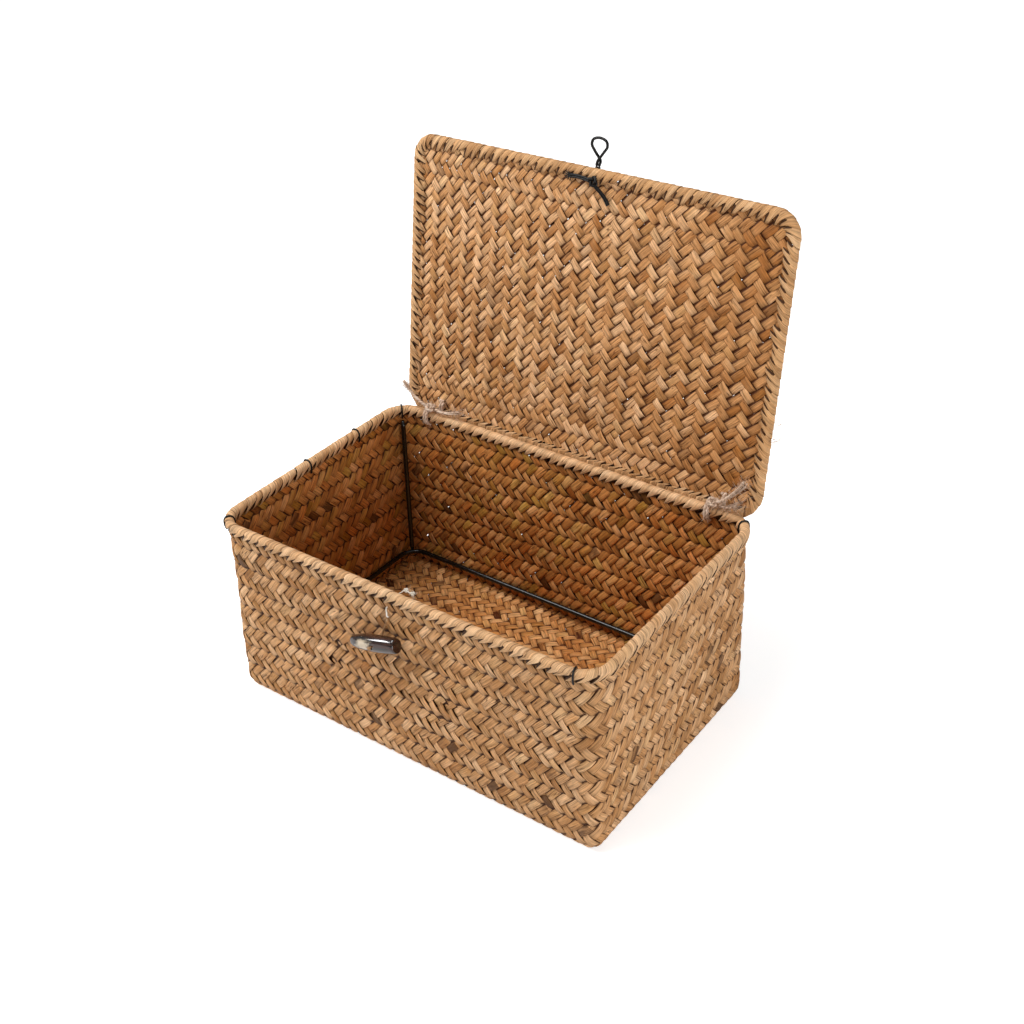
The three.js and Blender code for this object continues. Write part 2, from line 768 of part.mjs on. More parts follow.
// Half of the free loop from the lid's edge to its far end, as [x, beyond, height over the lead]
const loopUnder = [
  [-1.0, -0.1, 0], [-1.0, 1.4, 0], [-0.7, 2.8, 0], [0, 4.3, 0], [1.5, 6.4, 0], [3.7, 9.6, 0], [5.9, 13.2, 0], [5.0, 16.6, 0],
];
const loopOver = [
  [1.0, -0.1, 0], [1.0, 0.8, 0], [0.9, 2.1, 1.0], [0.6, 3.1, 1.7], [0, 4.3, 1.85], [-1.5, 6.4, 1.2], [-3.7, 9.6, 0.3], [-5.9, 13.2, 0],
  [-5.0, 16.6, 0],
];
const loopEnd = [0, 18.2, 0];
const loopRoute = [...loopUnder, loopEnd, ...loopOver.slice().reverse()]
  .map(([x, along, height]) => [x, cordPivot + along, cordUp + height]);

function closureLoop() {
  const points = loopRoute.map(onFrontEdge);
  printLeastGap('closure_loop', points, cord, 6 * cord, false);
  return cordAlong(points, cord, twineSides, 44);
}

const cordKnotUp = -lidBindingHalf - clearance - cordKnotBulge - cord / 2;
const cordKnotCentre = [2.4, -4.1, cordKnotUp];

function closureKnot() {
  const points = knotPoints(onFrontEdge(cordKnotCentre), new THREE.Vector3(0, 0, 1), cordKnotRadius, cordKnotBulge);
  printLeastGap('closure_knot', points, cord, Math.PI * cordKnotRadius, true);
  return closedCord(points, cord, twineSides, 42);
}

const leftEndRoute = [[-1.6, -3.9, -4.6], [-6, -3.4, -4.1], [-11, -3.2, -4.0], [-16.5, -3.6, -4.0]];
const rightEndRoute = [[5.0, -7.6, -4.6], [8, -10.6, -3.4], [11, -14, -2.4], [14, -18.2, -2.2]];

function closureEnd(route) {
  return cordAlong(route.map(onFrontEdge), cord, twineSides, 10);
}

// Toggle: a tapered bar of horn with a flat cut end, and a bore across its middle for the cord
function toggleBar() {
  const lengthShares = [-0.5, -0.475, -0.41, -0.26, 0, 0.25, 0.42, 0.485, 0.5];
  const girthShares = [0.2, 0.4, 0.62, 0.87, 1, 0.99, 0.92, 0.86, 0.74];
  const along = (share) => (share - toggleBoreShare) * toggleLength;
  const profile = [new THREE.Vector2(0, along(lengthShares[0]))];
  lengthShares.forEach((share, i) => profile.push(
    new THREE.Vector2(girthShares[i] * toggleHeight / 2, along(share))));
  profile.push(new THREE.Vector2(0, along(lengthShares[lengthShares.length - 1])));
  const bar = new THREE.LatheGeometry(profile, 16);
  bar.scale(1, 1, toggleThickness / toggleHeight);
  bar.rotateZ(-Math.PI / 2);
  return cutBy(bar, [borer(toggleHole / 2, toggleThickness + 2 * overrun, new THREE.Vector3())]);
}

const toggleY = pivotY - toggleCord / 2 - 2.5 * clearance - toggleThickness / 2;

function toggleHanger() {
  const face = toggleY - toggleThickness / 2;
  const headRun = toggleCord * 0.6;
  const between = (share) => THREE.MathUtils.lerp(stitchX, toggleX, share);
  return cordAlong([
    new THREE.Vector3(stitchX, pivotY, pivotZ),
    new THREE.Vector3(between(0.35), pivotY, THREE.MathUtils.lerp(pivotZ, toggleZ, 0.3)),
    new THREE.Vector3(between(0.8), pivotY, THREE.MathUtils.lerp(pivotZ, toggleZ, 0.7)),
    new THREE.Vector3(toggleX, pivotY, toggleZ + toggleCord * 1.3),
    new THREE.Vector3(toggleX, pivotY - toggleCord * 0.45, toggleZ + toggleCord * 0.35),
    new THREE.Vector3(toggleX, pivotY - toggleCord * 1.8, toggleZ),
    new THREE.Vector3(toggleX, toggleY, toggleZ),
    new THREE.Vector3(toggleX, face - headRun, toggleZ),
  ], toggleCord, twineSides, 22);
}

// The hanger's end on the front of the toggle: a small drawn knot
function hangerKnot() {
  const face = toggleY - toggleThickness / 2;
  const knob = new THREE.SphereGeometry(toggleCord, 10, 6);
  knob.scale(1.15, 0.7, 0.9);
  knob.translate(toggleX, face - toggleCord * 0.6 - clearance - toggleCord * 0.7, toggleZ);
  return knob;
}

// Thread: a stitch down the outside of the wall, and its knot inside the rim
function stitch() {
  const top = stitchTop - bindingLeg;
  const faceTop = wallFace(top);
  const faceBottom = wallFace(stitchBottom);
  const proud = 1.5 * clearance + thread / 2;
  return cordAlong([
    new THREE.Vector3(stitchX, faceTop + weaveThickness, top),
    new THREE.Vector3(stitchX, faceTop, top),
    new THREE.Vector3(stitchX, faceTop - proud, top - thread),
    new THREE.Vector3(stitchX, (faceTop + faceBottom) / 2 - proud, (top + stitchBottom) / 2),
    new THREE.Vector3(stitchX, faceBottom - proud, stitchBottom + thread),
    new THREE.Vector3(stitchX, faceBottom, stitchBottom),
    new THREE.Vector3(stitchX, faceBottom + weaveThickness, stitchBottom),
  ], thread, twineSides, 16);
}

const threadEndsRoute = [
  [0.8, 4.5, -4.6], [3.6, 4.6, -2], [7.4, 4.7, 1.2], [10.5, 4.6, 4.4], [13.2, 3.4, 5.6], [15.6, 3.6, 4.9], [18, 4.6, 3.6],
];

function threadEnds() {
  const points = threadEndsRoute.map(([x, y, z]) => new THREE.Vector3(stitchX + x, frontRim + y, rimHeight + z));
  return cordAlong(points, thread, twineSides, 16);
}

// Materials
const finishes = {
  straw: { color: 0xb58a55, roughness: 0.72, metalness: 0 },
  binding: { color: 0xc29a66, roughness: 0.68, metalness: 0 },
  lidStraw: { color: 0xbb8f58, roughness: 0.7, metalness: 0 },
  paintedWire: { color: 0x14130f, roughness: 0.35, metalness: 0.2 },
  jute: { color: 0xb79a86, roughness: 0.95, metalness: 0 },
  blackCord: { color: 0x16140f, roughness: 0.55, metalness: 0 },
  horn: { color: 0x3a241c, roughness: 0.3, metalness: 0 },
  whiteThread: { color: 0xe9dfd2, roughness: 0.85, metalness: 0 },
};

function piece(name, geometry, finish) {
  const mesh = new THREE.Mesh(geometry, new THREE.MeshStandardMaterial(finishes[finish]));
  mesh.name = name;
  return mesh;
}

// Assembly
const box = new THREE.Group();
box.add(piece('basket_shell', basketShellCut(), 'straw'));
box.add(piece('rim_binding', rimBinding(), 'binding'));
box.add(piece('rim_wire', ringWire(rimLoop, frameWire, onRim), 'paintedWire'));
box.add(piece('base_wire', baseRing(), 'paintedWire'));

const cornersOfBox = { front_right: [1, -1], back_right: [1, 1], back_left: [-1, 1], front_left: [-1, -1] };
Object.entries(cornersOfBox).forEach(([place, [signX, signY]], number) => {
  box.add(piece(`corner_post_${place}`, cornerPost(signX, signY), 'paintedWire'));
  const shift = place === 'front_right' ? frontRightTieShift : 0;
  box.add(piece(`corner_tie_${place}`, rimTie(cornerDistance(number) - shift), 'blackCord'));
});
leftRimTies.forEach((y, number) => {
  box.add(piece(`left_rim_tie_${number + 1}`, rimTie(leftSideDistance(y)), 'blackCord'));
});

box.add(piece('hinge_left_rim_turns', rimTurns('hinge_left_rim_turns', leftTieX), 'jute'));
box.add(piece('hinge_right_rim_turns', rimTurns('hinge_right_rim_turns', rightTieX), 'jute'));
box.add(piece('hinge_left_knot', tieKnot('hinge_left_knot', leftTieX), 'jute'));
box.add(piece('hinge_left_outer_tail', tail(leftTieX, leftOuterTail), 'jute'));
box.add(piece('hinge_left_inner_tail', tail(leftTieX, leftInnerTail), 'jute'));
box.add(piece('hinge_right_knot', tieKnot('hinge_right_knot', rightTieX), 'jute'));
box.add(piece('hinge_right_outer_tail', tail(rightTieX, rightOuterTail), 'jute'));
box.add(piece('hinge_right_inner_tail', tail(rightTieX, rightInnerTail), 'jute'));

const toggle = piece('toggle', toggleBar(), 'horn');
toggle.position.set(toggleX, toggleY, toggleZ);
toggle.rotation.y = -toggleTilt;
box.add(toggle);
box.add(piece('toggle_hanger', toggleHanger(), 'blackCord'));
box.add(piece('toggle_hanger_knot', hangerKnot(), 'blackCord'));
box.add(piece('toggle_stitch', stitch(), 'whiteThread'));
box.add(piece('toggle_thread_ends', threadEnds(), 'whiteThread'));

const lid = new THREE.Group();
lid.add(piece('lid_panel', lidPanel(), 'lidStraw'));
lid.add(piece('lid_binding', lidBinding(), 'binding'));
lid.add(piece('lid_wire', ringWire(lidLoop, lidWire, onLid), 'paintedWire'));
lid.add(piece('hinge_left_lid_turns', lidTurns('hinge_left_lid_turns', leftTieX), 'jute'));
lid.add(piece('hinge_right_lid_turns', lidTurns('hinge_right_lid_turns', rightTieX), 'jute'));
lid.add(piece('closure_lead_left', cordLead(-1), 'blackCord'));
lid.add(piece('closure_lead_right', cordLead(1), 'blackCord'));
lid.add(piece('closure_loop', closureLoop(), 'blackCord'));
lid.add(piece('closure_knot', closureKnot(), 'blackCord'));
lid.add(piece('closure_left_end', closureEnd(leftEndRoute), 'blackCord'));
lid.add(piece('closure_right_end', closureEnd(rightEndRoute), 'blackCord'));
lid.position.set(0, rearRim + lidBehindRim, rimHeight + lidAboveRim);
lid.rotation.x = -lidOpenAngle;

const wovenBox = new THREE.Group();
wovenBox.add(box, lid);

export default wovenBox;
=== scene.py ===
"""A woven seagrass box on a wire frame, its lid tied open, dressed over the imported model.

The weave is one formula, used for the walls, the floor and the lid. Two families of flat strips cross
at a steep angle. A strip is a flat rounded section carried along its line, and at each crossing it lies
on one face of the weave or on the other, two crossings over and two under. Between the two it dives
along an S curve. Where the rule counts rows, floats of one slant stand side by side, and where it
counts columns they stand one above the other.
"""

import math

import bpy
import numpy as np
from mathutils import Matrix, Vector


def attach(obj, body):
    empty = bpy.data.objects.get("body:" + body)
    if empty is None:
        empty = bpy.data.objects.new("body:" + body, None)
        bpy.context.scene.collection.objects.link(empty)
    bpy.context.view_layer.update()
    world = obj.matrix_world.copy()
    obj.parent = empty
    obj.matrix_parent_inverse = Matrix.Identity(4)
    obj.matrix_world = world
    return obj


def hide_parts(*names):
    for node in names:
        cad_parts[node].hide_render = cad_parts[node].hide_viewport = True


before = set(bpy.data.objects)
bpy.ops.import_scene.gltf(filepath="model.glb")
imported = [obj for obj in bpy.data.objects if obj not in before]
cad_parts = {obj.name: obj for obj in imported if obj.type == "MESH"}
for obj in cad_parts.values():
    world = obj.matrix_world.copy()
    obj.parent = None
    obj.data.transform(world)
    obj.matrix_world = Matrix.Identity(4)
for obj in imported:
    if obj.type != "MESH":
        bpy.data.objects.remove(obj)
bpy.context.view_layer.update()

# Camera: it looks down over the right front corner, with a normal lens and a slight roll.
MM = 0.001
CAMERA_TURN = math.radians(36.877)
CAMERA_RISE = math.radians(33.111)
CAMERA_ROLL = math.radians(-2.078)
CAMERA_DISTANCE = 970.4 * MM
CAMERA_AIM = Vector((0.3, 31.5, 132.65)) * MM
CAMERA_LENS = 50.21

camera_data = bpy.data.cameras.new("camera")
camera_data.lens = CAMERA_LENS
camera_data.sensor_width = 36
camera_data.clip_start = 10 * MM
camera = bpy.data.objects.new("camera", camera_data)
bpy.context.scene.collection.objects.link(camera)
back = Vector((
    math.sin(CAMERA_TURN) * math.cos(CAMERA_RISE),
    -math.cos(CAMERA_TURN) * math.cos(CAMERA_RISE),
    math.sin(CAMERA_RISE)))
level = Vector((math.cos(CAMERA_TURN), math.sin(CAMERA_TURN), 0))
upright = back.cross(level)
camera_axes = Matrix((
    math.cos(CAMERA_ROLL) * level + math.sin(CAMERA_ROLL) * upright,
    math.cos(CAMERA_ROLL) * upright - math.sin(CAMERA_ROLL) * level,
    back)).transposed()
camera.matrix_world = Matrix.Translation(CAMERA_AIM + CAMERA_DISTANCE * back) @ camera_axes.to_4x4()
bpy.context.scene.camera = camera

# Closure cord: waxed black cord of 1.5 mm, and 1.9 mm in the loop, where it is waxed more thickly. Two
# leads pass over the lid's front edge, cross, and stand out as a stiff loop that goes over the toggle.
# Inside, a knot and two ends hold it.
LID_HINGE = np.array((0, 105.5, 142.2)) * MM
LID_TURN = math.radians(98.26)
LID_SPAN = 198.8 * MM
CORD = 1.5 * MM
LOOP_CORD = 1.9 * MM
CORD_LAY = 3.2
CORD_PROUD = 3.95 * MM
LID_HALF = 3.0 * MM
LID_LEG = 5.2 * MM


def on_lid(points):
    """Points given as x, distance from the hinge wire, and height over the lid's middle plane, turned
    about the hinge wire to where the open lid stands."""
    x, along, height = np.moveaxis(np.asarray(points, float), -1, 0)
    y = LID_HINGE[1] - along * math.cos(LID_TURN) + height * math.sin(LID_TURN)
    z = LID_HINGE[2] + along * math.sin(LID_TURN) + height * math.cos(LID_TURN)
    return np.stack((x, y, z), -1)


def lid_front(points):
    """Points in mm given as x, distance beyond the lid's front edge wire, and height."""
    return on_lid(np.asarray(points, float) * MM + np.array((0, LID_SPAN, 0)))


LID_OUT = np.array((0, math.sin(LID_TURN), math.cos(LID_TURN)))


def smooth_line(points, count, closed=False):
    """A centripetal Catmull-Rom line through the points, cut into even steps. Between two points it
    blends the three straight lines through them and their neighbours, by the square roots of the
    chords."""
    p = np.asarray(points, float)
    if closed:
        p = np.vstack((p[-1:], p, p[:2]))
    else:
        p = np.vstack((2 * p[:1] - p[1:2], p, 2 * p[-1:] - p[-2:-1]))
    knots = np.concatenate(((0,), np.cumsum(np.sqrt(np.linalg.norm(np.diff(p, axis=0), axis=1)))))
    t = np.linspace(knots[1], knots[-2], 40 * len(p))
    k = np.clip(np.searchsorted(knots, t, side="right") - 1, 1, len(p) - 3)
    k0, k1, k2, k3 = (knots[k + n][:, None] for n in (-1, 0, 1, 2))
    p0, p1, p2, p3 = (p[k + n] for n in (-1, 0, 1, 2))
    t = t[:, None]
    a = (k1 - t) / (k1 - k0) * p0 + (t - k0) / (k1 - k0) * p1
    b = (k2 - t) / (k2 - k1) * p1 + (t - k1) / (k2 - k1) * p2
    c = (k3 - t) / (k3 - k2) * p2 + (t - k2) / (k3 - k2) * p3
    d = (k2 - t) / (k2 - k0) * a + (t - k0) / (k2 - k0) * b
    e = (k3 - t) / (k3 - k1) * b + (t - k1) / (k3 - k1) * c
    fine = (k2 - t) / (k2 - k1) * d + (t - k1) / (k2 - k1) * e
    run = np.concatenate(((0,), np.cumsum(np.linalg.norm(np.diff(fine, axis=0), axis=1))))
    at = np.linspace(0, run[-1], count + 1 if closed else count)
    line = np.stack([np.interp(at, run, fine[:, axis]) for axis in range(3)], -1)
    return line[:-1] if closed else line


def length_of(line):
    """The sum of a line's steps."""
    return float(np.linalg.norm(np.diff(line, axis=0), axis=1).sum())


def stacked(*values):
    """Arrays stretched to one shape and set side by side along a new last axis."""
    return np.stack(np.broadcast_arrays(*values), -1)


def grid_faces(rows, columns, row_wrap=False, column_wrap=False):
    """Corner numbers of the four-sided faces of a grid that is numbered row by row."""
    r = np.arange(rows if row_wrap else rows - 1)[:, None]
    c = np.arange(columns if column_wrap else columns - 1)[None, :]
    r_next, c_next = (r + 1) % rows, (c + 1) % columns
    corners = (r * columns + c, r * columns + c_next, r_next * columns + c_next, r_next * columns + c)
    return stacked(*corners).reshape(-1, 4)


def tube_faces(count, rings, sides):
    """Faces and end caps of many tubes alike, whose points are numbered tube by tube and ring by ring."""
    k = np.arange(sides)
    start = (np.arange(count)[:, None] * rings + np.arange(rings - 1)).reshape(-1, 1) * sides
    far = start + sides
    quads = np.stack((start + k, start + (k + 1) % sides, far + (k + 1) % sides, far + k), -1)
    first = np.arange(count)[:, None] * rings * sides
    caps = np.vstack((first + k[::-1], first + (rings - 1) * sides + k))
    return [quads.reshape(-1, 4), caps]


def new_piece(name, skin, body, material, replaces=()):
    """A mesh object from a skin: its points, groups of faces with equal numbers of corners, and named
    values at its points. The faces are turned to look outwards by the sign of the volume they shut in."""
    points, faces, attributes = skin
    points = np.asarray(points, np.float64).reshape(-1, 3)
    groups = [np.asarray(group) for group in faces if len(group)]
    middle = points.mean(0)
    volume = 0.0
    for group in groups:
        a = points[group[:, 0]] - middle
        for n in range(1, group.shape[1] - 1):
            b, c = points[group[:, n]] - middle, points[group[:, n + 1]] - middle
            volume += np.einsum("ij,ij->i", a, np.cross(b, c)).sum()
    if volume < 0:
        groups = [group[:, ::-1] for group in groups]
    corners = np.concatenate([group.ravel() for group in groups]).astype(np.int32)
    sizes = np.concatenate([np.full(len(group), group.shape[1]) for group in groups]).astype(np.int32)
    mesh = bpy.data.meshes.new(name)
    mesh.vertices.add(len(points))
    mesh.vertices.foreach_set("co", points.astype(np.float32).ravel())
    mesh.loops.add(len(corners))
    mesh.loops.foreach_set("vertex_index", corners)
    mesh.polygons.add(len(sizes))
    mesh.polygons.foreach_set("loop_start", (np.cumsum(sizes) - sizes).astype(np.int32))
    mesh.polygons.foreach_set("loop_total", sizes)
    mesh.polygons.foreach_set("use_smooth", np.ones(len(sizes), bool))
    for label, values in attributes.items():
        layer = mesh.attributes.new(label, "FLOAT_VECTOR", "POINT")
        layer.data.foreach_set("vector", np.asarray(values, np.float32).ravel())
    mesh.update(calc_edges=True)
    mesh.materials.append(material)
    piece = bpy.data.objects.new(name, mesh)
    bpy.context.scene.collection.objects.link(piece)
    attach(piece, body)
    if replaces:
        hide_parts(*replaces)
    return piece


def cord_skin(line, diameter, reference, sides=12, plies=3, lay=4.0, depth=0.1, closed=False, taper=None):
    """A round cord along a line. Its radius dips between the twisted plies: a cosine of the angle round
    the cord less the way along it, over the length of one turn of the lay."""
    if closed:
        tangent = np.roll(line, -1, 0) - np.roll(line, 1, 0)
    else:
        tangent = np.gradient(line, axis=0)
    tangent /= np.linalg.norm(tangent, axis=1, keepdims=True)
    side = np.cross(tangent, reference)
    side /= np.linalg.norm(side, axis=1, keepdims=True)
    lift = np.cross(side, tangent)
    step = np.linalg.norm(np.diff(line, axis=0), axis=1)
    run = np.concatenate(((0,), np.cumsum(step)))
    if closed:
        around = run[-1] + np.linalg.norm(line[-1] - line[0])
        turns = max(1, round(around / (lay * diameter) * plies)) / plies
        phase = 2 * np.pi * turns * run / around
    else:
        phase = 2 * np.pi * run / (lay * diameter)
    angle = 2 * np.pi * np.arange(sides) / sides
    crest = np.abs(np.cos(plies * (angle[None] - phase[:, None]) / 2))
    radius = diameter / 2 * (1 - depth * (1 - crest))
    ends = np.ones(len(line)) if taper is None else np.interp(np.linspace(0, 1, len(line)), *taper)
    if not closed:
        ends[[0, -1]] *= 0.62
    radius = radius * ends[:, None]
    points = (line[:, None] + radius[..., None] * (
        np.cos(angle)[None, :, None] * side[:, None] + np.sin(angle)[None, :, None] * lift[:, None]))
    look = stacked(crest, run[:, None], (angle / 2 / np.pi)[None])
    faces = [grid_faces(len(line), sides, row_wrap=closed, column_wrap=True)]
    if not closed:
        last = (len(line) - 1) * sides
        faces.append(np.array((np.arange(sides)[::-1], last + np.arange(sides))))
    return points.reshape(-1, 3), faces, {"look": look.reshape(-1, 3)}


def fibre_skin(lines, diameter):
    """Many loose fibres at once: three-sided tubes along their lines, narrowing to a third at the tip."""
    tangent = np.gradient(lines, axis=1)
    tangent /= np.linalg.norm(tangent, axis=2, keepdims=True)
    side = np.cross(tangent, (0.31, 0.52, 0.795))
    side /= np.linalg.norm(side, axis=2, keepdims=True) + 1e-12
    lift = np.cross(side, tangent)
    count, rings = lines.shape[:2]
    angle = 2 * np.pi * np.arange(3) / 3
    radius = (diameter / 2 * np.linspace(1, 0.34, rings))[None, :, None, None]
    points = lines[:, :, None] + radius * (
        np.cos(angle)[:, None] * side[:, :, None] + np.sin(angle)[:, None] * lift[:, :, None])
    look = np.zeros((count * rings * 3, 3))
    look[:, 0] = np.repeat(0.55 + 0.45 * np.sin(np.arange(count) * 2.4), rings * 3)
    return points.reshape(-1, 3), tube_faces(count, rings, 3), {"look": look}


def loose_fibres(line, count, length, spread, seed, first=0.0, last=1.0):
    """Lines of fibres that stand off a strand. Each starts on it, leans along it, and curls as the
    square of its own length, all by seeded chance."""
    noise = np.random.default_rng(seed)
    at = (first + (last - first) * noise.random(count)) * (len(line) - 1)
    start = line[at.astype(int)]
    way = np.gradient(line, axis=0)[at.astype(int)]
    way /= np.linalg.norm(way, axis=1, keepdims=True)
    out = noise.normal(size=(count, 3))
    out -= (out * way).sum(1, keepdims=True) * way
    out /= np.linalg.norm(out, axis=1, keepdims=True)
    curl = noise.normal(size=(count, 3)) * 0.45
    t = np.linspace(0, 1, 5)[None, :, None]
    reach = (length * (0.35 + 0.65 * noise.random(count)))[:, None, None]
    return start[:, None] + reach * (t * way[:, None] * (1 - 0.5 * spread) + t * out[:, None] * spread
                                     + t * t * curl[:, None])


def joined(skins):
    """Several skins put into one set of points, faces and values."""
    points, groups, values, start = [], [], {}, 0
    for skin_points, skin_faces, skin_values in skins:
        groups += [group + start for group in skin_faces]
        points.append(skin_points)
        for label, value in skin_values.items():
            values.setdefault(label, []).append(value)
        start += len(skin_points)
    return np.concatenate(points), groups, {label: np.concatenate(value) for label, value in values.items()}


def srgb(red, green, blue):
    """A colour picked on screen, from 0 to 255, as the linear light that the shaders use."""
    c = np.array((red, green, blue)) / 255
    return (*np.where(c <= 0.04045, c / 12.92, ((c + 0.055) / 1.055) ** 2.4).tolist(), 1.0)


def material_with(name):
    """A new material with its node tree, that tree's links, and its Principled shader."""
    material = bpy.data.materials.new(name)
    material.use_nodes = True
    tree = material.node_tree
    return material, tree, tree.links, tree.nodes["Principled BSDF"]


def node(tree, kind, inputs=None, **settings):
    """A new node with its settings and with plain values or other nodes' outputs on its inputs."""
    made = tree.nodes.new(kind)
    for key, value in settings.items():
        setattr(made, key, value)
    for key, value in (inputs or {}).items():
        if isinstance(value, bpy.types.NodeSocket):
            tree.links.new(value, made.inputs[key])
        else:
            made.inputs[key].default_value = value
    return made


def noise_of(tree, place, scale, detail, roughness=0.5):
    """Cloudy noise, mostly between 0.3 and 0.7."""
    return node(tree, "ShaderNodeTexNoise", {
        "Vector": place, "Scale": scale, "Detail": detail, "Roughness": roughness}).outputs["Fac"]


def stretched(tree, vector, amounts):
    """A vector with each of its parts multiplied by its own amount."""
    return node(tree, "ShaderNodeVectorMath", {0: vector, 1: amounts}, operation="MULTIPLY").outputs[0]


def spread_out(tree, value, low, high, to_low=0.0, to_high=1.0, **settings):
    """A value between low and high, moved to between two others."""
    return node(tree, "ShaderNodeMapRange", {"Value": value, 1: low, 2: high, 3: to_low, 4: to_high},
                **settings).outputs[0]


def blend_colours(tree, factor, first, second, kind="MIX"):
    """Two colours blended by a factor, or the first multiplied by the second to that share."""
    made = node(tree, "ShaderNodeMix", data_type="RGBA", blend_type=kind)
    for socket, value in ((made.inputs["Factor"], factor), (made.inputs[6], first), (made.inputs[7], second)):
        if isinstance(value, bpy.types.NodeSocket):
            tree.links.new(value, socket)
        else:
            socket.default_value = value
    return made.outputs[2]


def math_node(tree, operation, first, second=0.0, third=0.0):
    """One sum on plain values or on other nodes' outputs."""
    return node(tree, "ShaderNodeMath", {0: first, 1: second, 2: third}, operation=operation).outputs[0]


def scaled(tree, colour, amount):
    """A colour made lighter or darker by an amount."""
    return node(tree, "ShaderNodeVectorMath", {0: colour, "Scale": amount}, operation="SCALE").outputs[0]


def cord_finish(name, crest_colour, groove_shade_colour, pale_colour, fibre_scale, roughness, hairs):
    """Twisted cord: painted shade darkens the grooves between its plies, it is streaked along its fibres,
    and it has paler patches where it is worn."""
    material, tree, links, shader = material_with(name)
    look = node(tree, "ShaderNodeAttribute", attribute_name="look").outputs["Vector"]
    parts = node(tree, "ShaderNodeSeparateXYZ", {0: look})
    place = node(tree, "ShaderNodeTexCoord").outputs["Object"]
    fibres = noise_of(tree, place, fibre_scale, 6.0, 0.7)
    patches = noise_of(tree, place, 220.0, 2.0)
    # Painted shade: the grooves between the plies take the darker colour.
    body = blend_colours(tree, math_node(tree, "POWER", parts.outputs[0], 0.7), groove_shade_colour, crest_colour)
    worn = blend_colours(tree, spread_out(tree, patches, 0.5, 0.72), body, pale_colour)
    links.new(scaled(tree, worn, spread_out(tree, fibres, 0.3, 0.7, 0.62, 1.2)), shader.inputs["Base Color"])
    links.new(spread_out(tree, fibres, 0.2, 0.8, roughness - 0.12, roughness + 0.1),
              shader.inputs["Roughness"])
    bump = node(tree, "ShaderNodeBump", {"Height": fibres, "Strength": hairs, "Distance": 0.3 * MM})
    links.new(bump.outputs[0], shader.inputs["Normal"])
    return material


waxed_cord = cord_finish("waxed black cord", srgb(17, 15, 14), srgb(4, 4, 4), srgb(30, 26, 23),
                         2600.0, 0.46, 0.3)
waxed_cord.node_tree.nodes["Principled BSDF"].inputs["Specular IOR Level"].default_value = 0.3

LOOP_ROUTE = [
    [-1, -0.1, 0], [-1, 1.4, 0], [-0.7, 2.8, 0], [0, 4.3, 0], [1.5, 6.4, 0], [3.7, 9.6, 0], [5.9, 13.2, 0],
    [5.0, 16.6, 0], [0, 18.2, 0], [-5.0, 16.6, 0], [-5.9, 13.2, 0], [-3.7, 9.6, 0.3], [-1.5, 6.4, 1.2],
    [0, 4.3, 1.85], [0.6, 3.1, 1.7], [0.9, 2.1, 1.0], [1, 0.8, 0], [1, -0.1, 0],
]
loop_line = smooth_line(lid_front(np.array(LOOP_ROUTE) + (0, CORD_PROUD / MM, CORD_PROUD / MM)), 90)
loop_skin = cord_skin(loop_line, LOOP_CORD, LID_OUT, plies=2, lay=CORD_LAY, depth=0.05)
closure_loop = new_piece("closure_cord_loop", loop_skin, "closure_loop", waxed_cord,
                         ["closure_loop"])


def closure_strand(points, count, reference, diameter=CORD):
    """Two-ply cord through points given at the lid's front edge."""
    line = smooth_line(lid_front(points), count)
    return cord_skin(line, diameter, reference, plies=2, lay=CORD_LAY)


proud, leg, half = CORD_PROUD / MM, LID_LEG / MM, LID_HALF / MM
for lead_name, lead_x in (("left", -1.0), ("right", 1.0)):
    lead = closure_strand([
        [lead_x, -7.6, -half], [lead_x, -7.6, 0], [lead_x, -7.6, half * 0.7], [lead_x, -leg - 0.95, proud],
        [lead_x, -leg / 2, proud], [lead_x, 0, proud], [lead_x, proud - 0.9, proud],
        [lead_x, proud - 0.1, proud]], 44, np.array((1.0, 0, 0)), LOOP_CORD)
    new_piece(f"closure_cord_lead_{lead_name}", lead, "lid", waxed_cord,
              [f"closure_lead_{lead_name}"])


def drawn_knot(centre, normal, reach, bulge, count):
    """A trefoil knot pressed flat: the reach and the height swing three times while the line goes twice
    round the centre."""
    normal = np.asarray(normal) / np.linalg.norm(normal)
    across = np.cross(normal, (1.0, 0, 0)) if abs(normal[0]) < 0.9 else np.cross(normal, (0, 1.0, 0))
    across /= np.linalg.norm(across)
    other = np.cross(normal, across)
    t = 2 * np.pi * np.arange(count) / count
    out = (reach + bulge * np.cos(3 * t))[:, None]
    return (centre + out * np.cos(2 * t)[:, None] * other + out * np.sin(2 * t)[:, None] * across
            + (bulge * np.sin(3 * t))[:, None] * normal)


KNOT_REACH = 2.1 * MM
KNOT_BULGE = 0.95 * MM
knot_height = -LID_HALF / MM - 0.3 - KNOT_BULGE / MM - 0.65
knot_line = drawn_knot(lid_front([2.4, -4.1, knot_height]), LID_OUT, KNOT_REACH, KNOT_BULGE, 90)
new_piece("closure_cord_knot", cord_skin(knot_line, CORD * 1.12, LID_OUT, plies=2, lay=CORD_LAY, closed=True),
          "lid", waxed_cord, ["closure_knot"])

